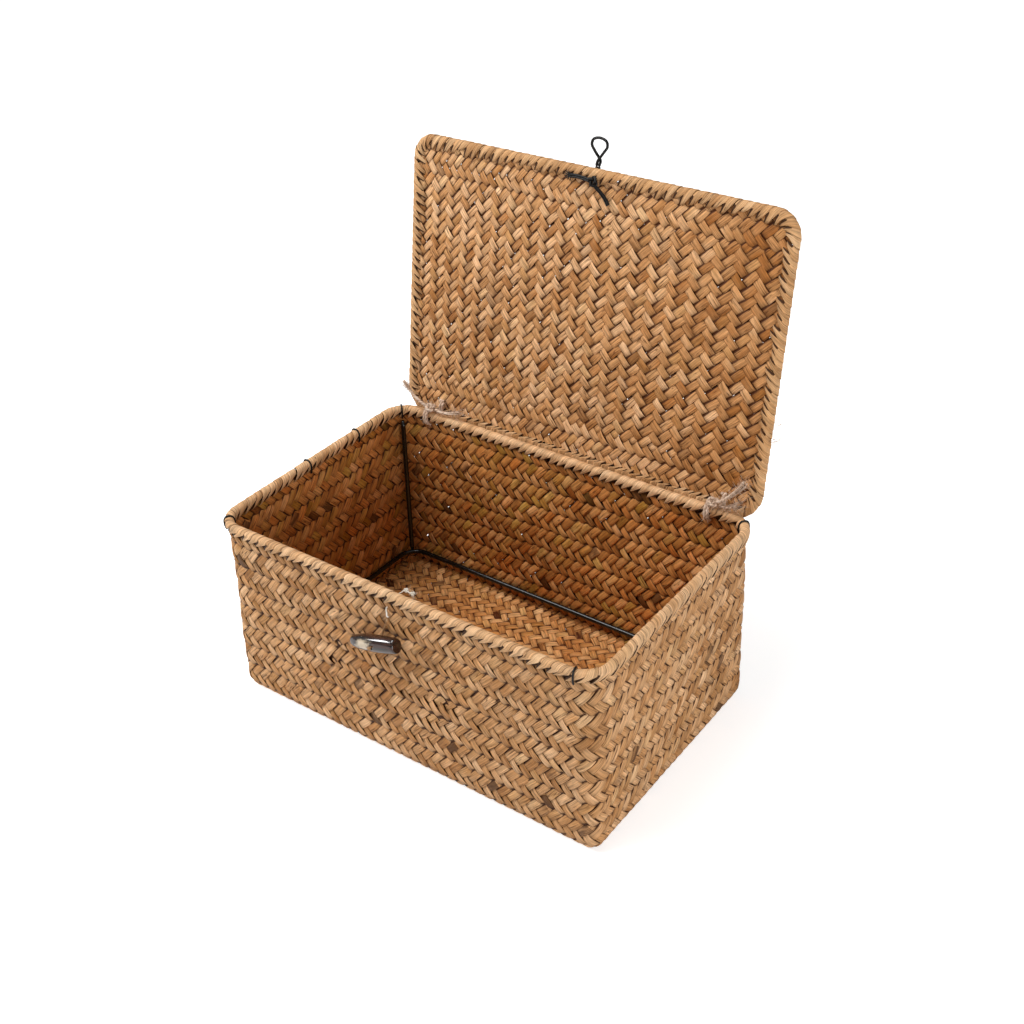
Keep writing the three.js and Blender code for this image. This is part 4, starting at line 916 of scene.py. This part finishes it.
# Lid binding: the same strips wound over the lid's thinner wire, with their legs on both of its faces.
# A few dry fibres have come loose at its right edge.
LID_WRAP_PITCH = 5.9 * MM
LID_WRAP_SLANT = 15 * MM
LID_BINDING_CORNER = 14 * MM
LID_HINGE_BULGE = 3.2 * MM
WISP_COUNT = 9
WISP_EDGE = 150.4 * MM
WISP_LENGTH = 11 * MM


def on_lid_edge(x, y, nx, ny, up, out):
    """Height and reach at the lid's edge wire. On the hinge side the strips bulge further out, and their
    legs are shorter."""
    out = np.where(out < 0, out * (1 - 0.6 * np.clip(ny, 0, 1) ** 2), out)
    bulge = LID_HINGE_BULGE * np.clip(ny, 0, 1) ** 2 * np.clip(out / (2 * MM), 0, 1)
    return on_lid(np.stack((x + nx * out, LID_WIRE_HALF[1] - y - ny * (out + bulge), up + 0 * x), -1))


lid_binding_straw = straw_finish("lid binding seagrass", srgb(226, 184, 138), srgb(198, 150, 102),
                                 srgb(158, 108, 62), srgb(50, 23, 7), srgb(255, 255, 255), 0.0, 0.0)
lid_section = edge_section(1.8 * MM, 2.6 * MM, 4.4 * MM, 0.9 * MM, 6)
lid_wraps = wound_strips(LID_WIRE_HALF, LID_BINDING_CORNER, lid_section, on_lid_edge, LID_WRAP_PITCH,
                         -LID_WRAP_SLANT, 6, uneven=0.7, open_from=0.3, skew=0.0, narrowing=0.56)
new_piece("lid_binding_strips", lid_wraps, "lid", lid_binding_straw, ["lid_binding"])
wisp_along = np.linspace(52 * MM, 66 * MM, WISP_COUNT)
wisp_rise = np.linspace(-2.5 * MM, 0.5 * MM, WISP_COUNT)
wisp_root = on_lid(np.stack((np.full(WISP_COUNT, WISP_EDGE), wisp_along, wisp_rise), -1))
wisps = loose_fibres(wisp_root, WISP_COUNT, WISP_LENGTH, 1.0, 12)
wisps[:, :, 0] = WISP_EDGE + np.abs(wisps[:, :, 0] - WISP_EDGE)
wisp_points, wisp_faces, _ = fibre_skin(wisps, 0.34 * MM)
wisp_values = {"look": np.tile((1.0, 0.8, 1.0), (len(wisp_points), 1)), "strip": wisp_points,
               "lap": np.tile((0, 0.5, 0), (len(wisp_points), 1))}
new_piece("lid_edge_wisps", (wisp_points, wisp_faces, wisp_values), "lid", lid_binding_straw)

# Wire frame: round steel wire, dipped in glossy black paint, with a ring in the foot of the walls and a
# post in each corner. The rim's and the lid's wires lie hidden in their bindings.
FRAME_WIRE = 3.6 * MM
BASE_RING_HALF = np.array((145.8, 90.3)) * MM
BASE_RING_CORNER = 14 * MM
BASE_RING_HEIGHT = 14.5 * MM
POST_TOP = 133.2 * MM
POST_INSET = 1.8 * MM + FRAME_WIRE / 2
POST_FOOT_LIFT = 1.7 * MM


def build_black_paint():
    """Thick black paint: a few dust specks, slow waves from the dipping, and dull worn patches."""
    material, tree, links, shader = material_with("dipped black paint")
    place = node(tree, "ShaderNodeTexCoord").outputs["Object"]
    waves = noise_of(tree, place, 160.0, 3.0)
    dusty = spread_out(tree, noise_of(tree, place, 1500.0, 2.0), 0.62, 0.7)
    links.new(blend_colours(tree, dusty, srgb(13, 12, 11), srgb(52, 42, 32)), shader.inputs["Base Color"])
    links.new(spread_out(tree, waves, 0.35, 0.7, 0.12, 0.3), shader.inputs["Roughness"])
    bump = node(tree, "ShaderNodeBump", {"Height": waves, "Strength": 0.2, "Distance": 0.4 * MM})
    links.new(bump.outputs[0], shader.inputs["Normal"])
    return material


black_paint = build_black_paint()
ring_shares = np.linspace(0, 1, 240, endpoint=False)
ring_x, ring_y, _, _ = rounded_outline(ring_shares, *BASE_RING_HALF, BASE_RING_CORNER)
ring_line = np.stack((ring_x, ring_y, 0 * ring_x + BASE_RING_HEIGHT), -1)
new_piece("base_ring_wire", cord_skin(ring_line, FRAME_WIRE, (0, 0, 1.0), sides=16, depth=0.0, closed=True),
          "box", black_paint, ["base_wire"])


def corner_of(half, corner, sign_x, sign_y, inward=0.0):
    """The middle of a rounded corner, moved inwards along its diagonal."""
    inset = corner * (1 - math.sqrt(0.5)) + inward * math.sqrt(0.5)
    return sign_x * (half[0] - inset), sign_y * (half[1] - inset)


BOX_CORNERS = {"front_right": (1, -1), "back_right": (1, 1), "back_left": (-1, 1), "front_left": (-1, -1)}
for corner_name, (sign_x, sign_y) in BOX_CORNERS.items():
    foot = corner_of(BASE_RING_HALF, BASE_RING_CORNER, sign_x, sign_y)
    head = corner_of(RIM_HALF, RIM_CORNER, sign_x, sign_y, POST_INSET)
    post_line = np.linspace((*foot, BASE_RING_HEIGHT + POST_FOOT_LIFT), (*head, POST_TOP), 24)
    new_piece(f"post_wire_{corner_name}", cord_skin(post_line, FRAME_WIRE, (1.0, 0, 0), sides=16, depth=0.0),
              "box", black_paint, [f"corner_post_{corner_name}"])
for hidden_wire in ("rim_wire", "lid_wire"):
    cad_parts[hidden_wire].data.materials.clear()
    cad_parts[hidden_wire].data.materials.append(black_paint)

# Rim ties: short lengths of the waxed cord laid over the rim binding at the corners, where they hold
# the posts, and twice on the left side. Their ends go into the weave below the rim.
TIE_CORD = 1.3 * MM
TIE_ROUTE = np.array([
    [2.3, -6.54], [3.3, -4.14], [3.4, 0.6], [1.9, 3.3],
    [-1.9, 3.3], [-3.4, 0.6], [-3.3, -4.14], [-2.3, -6.54],
]) * MM
TIE_PLACES = {
    "corner_tie_front_right": 136.14 * MM, "corner_tie_back_right": 330.41 * MM,
    "corner_tie_back_left": 622.69 * MM, "corner_tie_front_left": 806.96 * MM,
    "left_rim_tie_1": 670.83 * MM, "left_rim_tie_2": 722.83 * MM}
for tie_name, tie_at in TIE_PLACES.items():
    tie_share = np.full(len(TIE_ROUTE), tie_at / RIM_LOOP)
    x, y, nx, ny = rounded_outline(tie_share, *RIM_HALF, RIM_CORNER)
    tie_line = smooth_line(on_rim(x, y, nx, ny, TIE_ROUTE[:, 0], TIE_ROUTE[:, 1]), 46)
    tie_skin = cord_skin(tie_line, TIE_CORD, (-ny[0], nx[0], 0), sides=10, plies=2, lay=CORD_LAY)
    new_piece(f"{tie_name}_cord", tie_skin, "box", waxed_cord, [tie_name])

# Hinge ties: two turns of hairy jute twine round the rim and two round the lid's hinge edge at each
# side, knotted on top, with frayed tails that stick out.
TWINE = 2.2 * MM
TWINE_PITCH = 2.05 * MM
TWINE_LAY = 2.6
TWINE_DEPTH = 0.24
TWINE_FIBRE = 0.2 * MM
TIE_KNOT_HEIGHT = 8.15 * MM
TIE_KNOT_TURN = math.radians(104)
jute = cord_finish("hairy jute twine", srgb(230, 200, 174), srgb(124, 88, 62), srgb(242, 222, 202),
                   2200.0, 0.82, 0.6)


def stadium(share, radius, drop):
    """A point at a share of the way round a loop of two half circles joined by two straight drops."""
    half = np.pi * radius
    s = np.mod(share, 1) * (2 * half + 2 * drop)
    turn = np.where(s <= half, s, np.pi * radius + (s - half - drop)) / radius
    x = np.where(s <= half, radius * np.cos(turn), np.where(s <= half + drop, -radius, np.where(
        s <= 2 * half + drop, radius * np.cos(turn), radius)))
    y = np.where(s <= half, radius * np.sin(turn), np.where(s <= half + drop, half - s, np.where(
        s <= 2 * half + drop, radius * np.sin(turn) - drop, s - 2 * half - 2 * drop)))
    return x, y


def winding(centre, start, radius, drop):
    """Two turns round an edge: the share of the loop grows evenly while the line moves sideways."""
    i = np.arange(49) / 24
    across, over = stadium(start + i, radius, drop)
    return centre + (i - 1) * TWINE_PITCH, across, over


def twine_skin(line, seed, reference, hairs=7.0, **options):
    """A plied strand with fibres that stand off it, some for each mm of its length."""
    count = int(length_of(line) / MM * hairs)
    strand = cord_skin(line, TWINE, reference, plies=2, lay=TWINE_LAY, depth=TWINE_DEPTH, **options)
    return joined([strand, fibre_skin(loose_fibres(line, count, 3.0 * MM, 0.8, seed), TWINE_FIBRE)])


def frayed_tail(points, seed):
    """A tail whose plies come apart towards its end, each straying its own way by the share of the tail
    behind it, with short fibres all along and long ones at the tip."""
    noise = np.random.default_rng(seed)
    line = smooth_line(points, 44)
    share = np.linspace(0, 1, 44)[:, None]
    reference = (0.2, 0.1, 1.0)
    parts = [cord_skin(line, TWINE, reference, plies=2, lay=TWINE_LAY, depth=TWINE_DEPTH,
                       taper=((0, 0.6, 1), (1, 1, 0.7)))]
    for _ in range(8):
        way = noise.normal(size=3)
        ply = line + way * 1.5 * MM * np.clip(share - 0.16, 0, 1)
        parts.append(cord_skin(ply[7:], TWINE * 0.5, reference, sides=6, plies=2))
    parts.append(fibre_skin(loose_fibres(line, 230, 3.4 * MM, 0.8, seed), TWINE_FIBRE))
    parts.append(fibre_skin(loose_fibres(line, 120, 8.0 * MM, 0.45, seed + 50, 0.66), TWINE_FIBRE))
    return joined(parts)


TAILS = {
    "left_outer": [[-4.15, -2, 8.1], [-9, -2, 10], [-15, -1.2, 12.4], [-20.5, -0.2, 15.8],
                   [-25.4, 0.6, 20.2]],
    "left_inner": [[4.75, -2.4, 7.7], [10, -1.8, 6.4], [16, -0.8, 7], [20.5, -0.2, 8.6], [25, 0.4, 9.8]],
    "right_outer": [[3.5, -3.3, 9.4], [8, -2.8, 12.4], [13, -2.6, 17.6], [17.5, -2.4, 23.2],
                    [21.4, -2.6, 29]],
    "right_inner": [[4.75, -2.2, 7.6], [8.5, -2, 6.8], [12, -1.4, 7.6], [16, -0.8, 9.6]],
}
knot_way = np.array((0, math.cos(TIE_KNOT_TURN), math.sin(TIE_KNOT_TURN)))
for tie_side, tie_x, tie_seed in (("left", -119.0, 60), ("right", 119.5, 80)):
    x, across, over = winding((tie_x - 3) * MM, 0.16, 4.6 * MM, 2.95 * MM)
    rim_turns = np.stack((x, RIM_HALF[1] + across, RIM_HEIGHT + over), -1)
    x, across, over = winding((tie_x + 3) * MM, 0.62, 4.4 * MM, 3.7 * MM)
    lid_turns = on_lid(np.stack((x, -over, across), -1))
    tie_foot = np.array((tie_x * MM, RIM_HALF[1], RIM_HEIGHT))
    knot = drawn_knot(tie_foot + TIE_KNOT_HEIGHT * knot_way, knot_way, 2.45 * MM, 1.05 * MM, 90)
    tails = [tie_foot + np.array(TAILS[f"{tie_side}_{end}"]) * MM for end in ("outer", "inner")]
    tie_body = f"{tie_side}_tie"
    tie_skins = {
        "rim_turns": ("box", twine_skin(rim_turns, tie_seed, (1.0, 0, 0))),
        "lid_turns": ("lid", twine_skin(lid_turns, tie_seed + 1, (1.0, 0, 0))),
        "knot": (tie_body, twine_skin(knot, tie_seed + 2, knot_way, 11.0, closed=True)),
        "outer_tail": (tie_body, frayed_tail(tails[0], tie_seed + 10)),
        "inner_tail": (tie_body, frayed_tail(tails[1], tie_seed + 11)),
    }
    for part, (body, skin) in tie_skins.items():
        new_piece(f"hinge_twine_{tie_side}_{part}", skin, body, jute, [f"hinge_{tie_side}_{part}"])

# Toggle: a bar of polished dark horn, tapered to its left end and cut flat at its right end, bored in
# the middle. Pale marbling shows on its left half.
TOGGLE = np.array((-8.5, -104.842, 105.5)) * MM
TOGGLE_TILT = math.radians(17)
TOGGLE_LENGTH = 44 * MM
TOGGLE_HEIGHT = 11.8 * MM
TOGGLE_THICKNESS = 10.4 * MM
TOGGLE_BORE = 3.7 * MM
TOGGLE_BORE_SHARE = 0.06
TOGGLE_RINGS = 64
TOGGLE_SIDES = 48
BORE_SIDES = 32
toggle_shares = np.array((-0.44, -0.437, -0.42, -0.37, -0.24, 0, 0.25, 0.42, 0.475, 0.487, 0.49))
toggle_girths = np.array((0.04, 0.2, 0.4, 0.62, 0.87, 1, 0.99, 0.92, 0.86, 0.8, 0.7))


def toggle_skin():
    """A lathe form pressed a little flat. Its girth follows the shares along the bar, read off a smooth
    line through them, and small waves of the angle make it look hand cut."""
    girth_scale = 0.3
    profile_points = np.stack((toggle_shares, toggle_girths * girth_scale, 0 * toggle_shares), -1)
    profile = smooth_line(profile_points, TOGGLE_RINGS)
    share, girth = profile[:, :1], profile[:, 1:2] / girth_scale
    angle = np.linspace(0, 2 * np.pi, TOGGLE_SIDES, endpoint=False)[None]
    radius = girth * (1 + 0.012 * np.sin(3 * angle + share * 9))
    along = (share - TOGGLE_BORE_SHARE) * TOGGLE_LENGTH + 0 * angle
    height = radius * TOGGLE_HEIGHT / 2 * np.sin(angle)
    depth = radius * TOGGLE_THICKNESS / 2 * np.cos(angle)
    points = TOGGLE + np.stack((
        along * math.cos(TOGGLE_TILT) - height * math.sin(TOGGLE_TILT), depth,
        along * math.sin(TOGGLE_TILT) + height * math.cos(TOGGLE_TILT)), -1)
    ring = np.arange(TOGGLE_SIDES)
    ends = np.array((ring[::-1], (TOGGLE_RINGS - 1) * TOGGLE_SIDES + ring))
    return points.reshape(-1, 3), [grid_faces(TOGGLE_RINGS, TOGGLE_SIDES, column_wrap=True), ends], {}


def build_horn():
    """Polished horn: nearly black, streaked with reddish brown along the bar, with a
    cream marbled patch and dull scratches."""
    material, tree, links, shader = material_with("polished dark horn")
    place = node(tree, "ShaderNodeTexCoord").outputs["Object"]
    local = node(tree, "ShaderNodeMapping", {
        "Vector": place, "Location": tuple(TOGGLE), "Rotation": (0, -TOGGLE_TILT, 0)},
        vector_type="TEXTURE").outputs[0]
    streaks = noise_of(tree, stretched(tree, local, (60, 600, 600)), 1.0, 4.0, 0.6)
    marbling = noise_of(tree, stretched(tree, local, (170, 420, 420)), 1.0, 5.0, 0.65)
    body = blend_colours(tree, spread_out(tree, streaks, 0.42, 0.72), srgb(14, 8, 6), srgb(72, 36, 22))
    patch_middle = (-6.6 * MM, 0, 0.6 * MM)
    patch_half_x, patch_half_z = 9.5 * MM, 4.2 * MM
    centred = node(tree, "ShaderNodeVectorMath", {0: local, 1: patch_middle}, operation="SUBTRACT").outputs[0]
    by_patch = stretched(tree, centred, (1 / patch_half_x, 0, 1 / patch_half_z))
    reach = node(tree, "ShaderNodeVectorMath", {0: by_patch}, operation="LENGTH").outputs["Value"]
    patch = math_node(tree, "SUBTRACT", math_node(tree, "MULTIPLY", marbling, 1.9), reach)
    links.new(blend_colours(tree, spread_out(tree, patch, 0.02, 0.5), body, srgb(204, 186, 160)),
              shader.inputs["Base Color"])
    links.new(spread_out(tree, streaks, 0.3, 0.7, 0.12, 0.26), shader.inputs["Roughness"])
    shader.inputs["Coat Weight"].default_value = 0.55
    shader.inputs["Coat Roughness"].default_value = 0.1
    bump = node(tree, "ShaderNodeBump", {"Height": streaks, "Strength": 0.15, "Distance": 0.2 * MM})
    links.new(bump.outputs[0], shader.inputs["Normal"])
    return material


horn = build_horn()
toggle = new_piece("toggle_bar", toggle_skin(), "toggle", horn, ["toggle"])
bore_angle = np.linspace(0, 2 * np.pi, BORE_SIDES, endpoint=False)
bore_x, bore_z = TOGGLE_BORE / 2 * np.cos(bore_angle), TOGGLE_BORE / 2 * np.sin(bore_angle)
bore_points = [TOGGLE + np.stack((bore_x, np.full(BORE_SIDES, reach * TOGGLE_THICKNESS), bore_z), -1)
               for reach in (-0.8, 0.8)]
bore_caps = np.array((np.arange(BORE_SIDES)[::-1], BORE_SIDES + np.arange(BORE_SIDES)))
bore_skin = (np.stack(bore_points), [grid_faces(2, BORE_SIDES, column_wrap=True), bore_caps], {})
bore = new_piece("toggle_bore", bore_skin, "toggle", horn)
bored = toggle.modifiers.new("bore", "BOOLEAN")
bored.operation = "DIFFERENCE"
bored.object = bore
bored.solver = "EXACT"
bpy.context.view_layer.update()
bored_mesh = bpy.data.meshes.new_from_object(toggle.evaluated_get(bpy.context.evaluated_depsgraph_get()))
toggle.modifiers.clear()
toggle.data = bored_mesh
bpy.data.objects.remove(bore)

# Toggle cord and stitch: a thin straw-brown cord hangs from a stitch through the weave, goes through the
# bore, and ends in a small knot on the toggle's face. The white stitch thread is tied off inside.
HANGER = 1.2 * MM
THREAD = 0.95 * MM
HANGER_ROUTE = np.array([
    [-2.5, -98.29, 122.95], [-4.6, -98.29, 117.7], [-7.3, -98.29, 110.73], [-8.5, -98.29, 107.06],
    [-8.5, -98.83, 105.92], [-8.5, -100.45, 105.5], [-8.5, -104.84, 105.5], [-8.5, -110.76, 105.5]]) * MM
STITCH_ROUTE = np.array([
    [-2.5, -94.5, 131.8], [-2.5, -97.5, 131.8], [-2.5, -98.4, 130.9], [-2.5, -98.36, 128.05],
    [-2.5, -98.32, 125.2], [-2.5, -97.42, 124.3], [-2.5, -94.42, 124.3]]) * MM
THREAD_ENDS = np.array([
    [0.8, 4.5, -4.6], [3.6, 4.6, -2], [7.4, 4.7, 1.2], [10.5, 4.6, 4.4], [13.2, 3.4, 5.6],
    [15.6, 3.6, 4.9], [18, 4.6, 3.6]]) * MM
THREAD_KNOTS = np.array([[12.2, 4.0, 5.4], [17.0, 4.4, 4.4]]) * MM
hanger_cord = cord_finish("thin brown cord", srgb(168, 124, 80), srgb(104, 70, 40), srgb(190, 150, 106),
                          2600.0, 0.7, 0.3)
white_thread = cord_finish("off-white thread", srgb(236, 226, 210), srgb(170, 154, 132),
                           srgb(248, 242, 232), 3200.0, 0.8, 0.3)


def thin_cord(line, diameter, reference, sides=10, closed=False):
    """A thin cord of two plies."""
    return cord_skin(line, diameter, reference, sides=sides, plies=2, closed=closed)


hanger_skin = thin_cord(smooth_line(HANGER_ROUTE, 60), HANGER, (1.0, 0.02, 0.01))
new_piece("toggle_hanger_cord", hanger_skin, "toggle_cord", hanger_cord, ["toggle_hanger"])
hanger_knot = drawn_knot(np.array((-8.5, -111.2, 105.5)) * MM, (0, -1.0, 0), 0.62 * MM, 0.3 * MM, 60)
new_piece("toggle_hanger_knot_cord", thin_cord(hanger_knot, HANGER * 0.9, (0, 1.0, 0), closed=True),
          "toggle_cord", hanger_cord, ["toggle_hanger_knot"])
new_piece("toggle_stitch_thread", thin_cord(smooth_line(STITCH_ROUTE, 50), THREAD, (1.0, 0, 0)),
          "box", white_thread, ["toggle_stitch"])
thread_foot = np.array((-2.5 * MM, -RIM_HALF[1], RIM_HEIGHT))
ends_line = smooth_line(thread_foot + THREAD_ENDS, 60)
tied_ends = [thin_cord(ends_line, THREAD, (0.1, 0.9, 0.4))]
for spot in THREAD_KNOTS:
    knot = drawn_knot(thread_foot + spot, (0.3, -0.7, 0.6), 0.8 * MM, 0.4 * MM, 50)
    tied_ends.append(thin_cord(knot, THREAD, (0.1, 0.9, 0.4), sides=8, closed=True))
tied_ends.append(fibre_skin(loose_fibres(ends_line, 26, 4 * MM, 0.8, 9, 0.7), 0.2 * MM))
new_piece("toggle_thread_tied_ends", joined(tied_ends), "box", white_thread,
          ["toggle_thread_ends"])

# Stage: a plain pale floor, an even pale surround, a broad soft lamp overhead, one that grazes the
# front from the left, and one low on the right.
STAGE_HALF = 6
stage_corners = [(x * STAGE_HALF, y * STAGE_HALF, 0) for x, y in ((-1, -1), (1, -1), (1, 1), (-1, 1))]
stage_mesh = bpy.data.meshes.new("stage_floor")
stage_mesh.from_pydata(stage_corners, [], [(0, 1, 2, 3)])
stage_floor = bpy.data.objects.new("stage_floor", stage_mesh)
bpy.context.scene.collection.objects.link(stage_floor)
stage_material, stage_tree, stage_links, stage_shader = material_with("pale floor")
stage_shader.inputs["Base Color"].default_value = (0.86, 0.86, 0.86, 1)
stage_shader.inputs["Roughness"].default_value = 0.9
seen = node(stage_tree, "ShaderNodeLightPath").outputs["Is Camera Ray"]
stage_shader.inputs["Emission Color"].default_value = (1, 1, 1, 1)
stage_links.new(math_node(stage_tree, "MULTIPLY", seen, 0.66), stage_shader.inputs["Emission Strength"])
stage_mesh.materials.append(stage_material)

world = bpy.data.worlds.new("pale surround")
bpy.context.scene.world = world
world.use_nodes = True
world_tree = world.node_tree
ray = node(world_tree, "ShaderNodeLightPath").outputs
surround = world_tree.nodes["Background"]
surround.inputs["Color"].default_value = (1, 1, 1, 1)
surround_light = spread_out(world_tree, ray["Is Camera Ray"], 0, 1, 0.3, 1.0)
world_tree.links.new(surround_light, surround.inputs["Strength"])


def soft_lamp(name, place, aim, size, power):
    """A square lamp at a place, turned to face the aim."""
    lamp_data = bpy.data.lights.new(name, "AREA")
    lamp_data.shape = "SQUARE"
    lamp_data.size = size
    lamp_data.energy = power
    lamp = bpy.data.objects.new(name, lamp_data)
    way = Vector(aim) - Vector(place)
    lamp.matrix_world = Matrix.Translation(Vector(place)) @ way.to_track_quat("-Z", "Y").to_matrix().to_4x4()
    bpy.context.scene.collection.objects.link(lamp)


soft_lamp("lamp_overhead", (-0.6, -0.4, 1.85), (0, 0, 0.1), 1.1, 27)
soft_lamp("lamp_left", (-1.5, -0.85, 0.95), (0, 0, 0.12), 0.42, 13)
soft_lamp("lamp_low_right", (1.5, -0.35, 0.24), (0, 0, 0.1), 0.5, 10)
bpy.context.scene.view_settings.view_transform = "Standard"
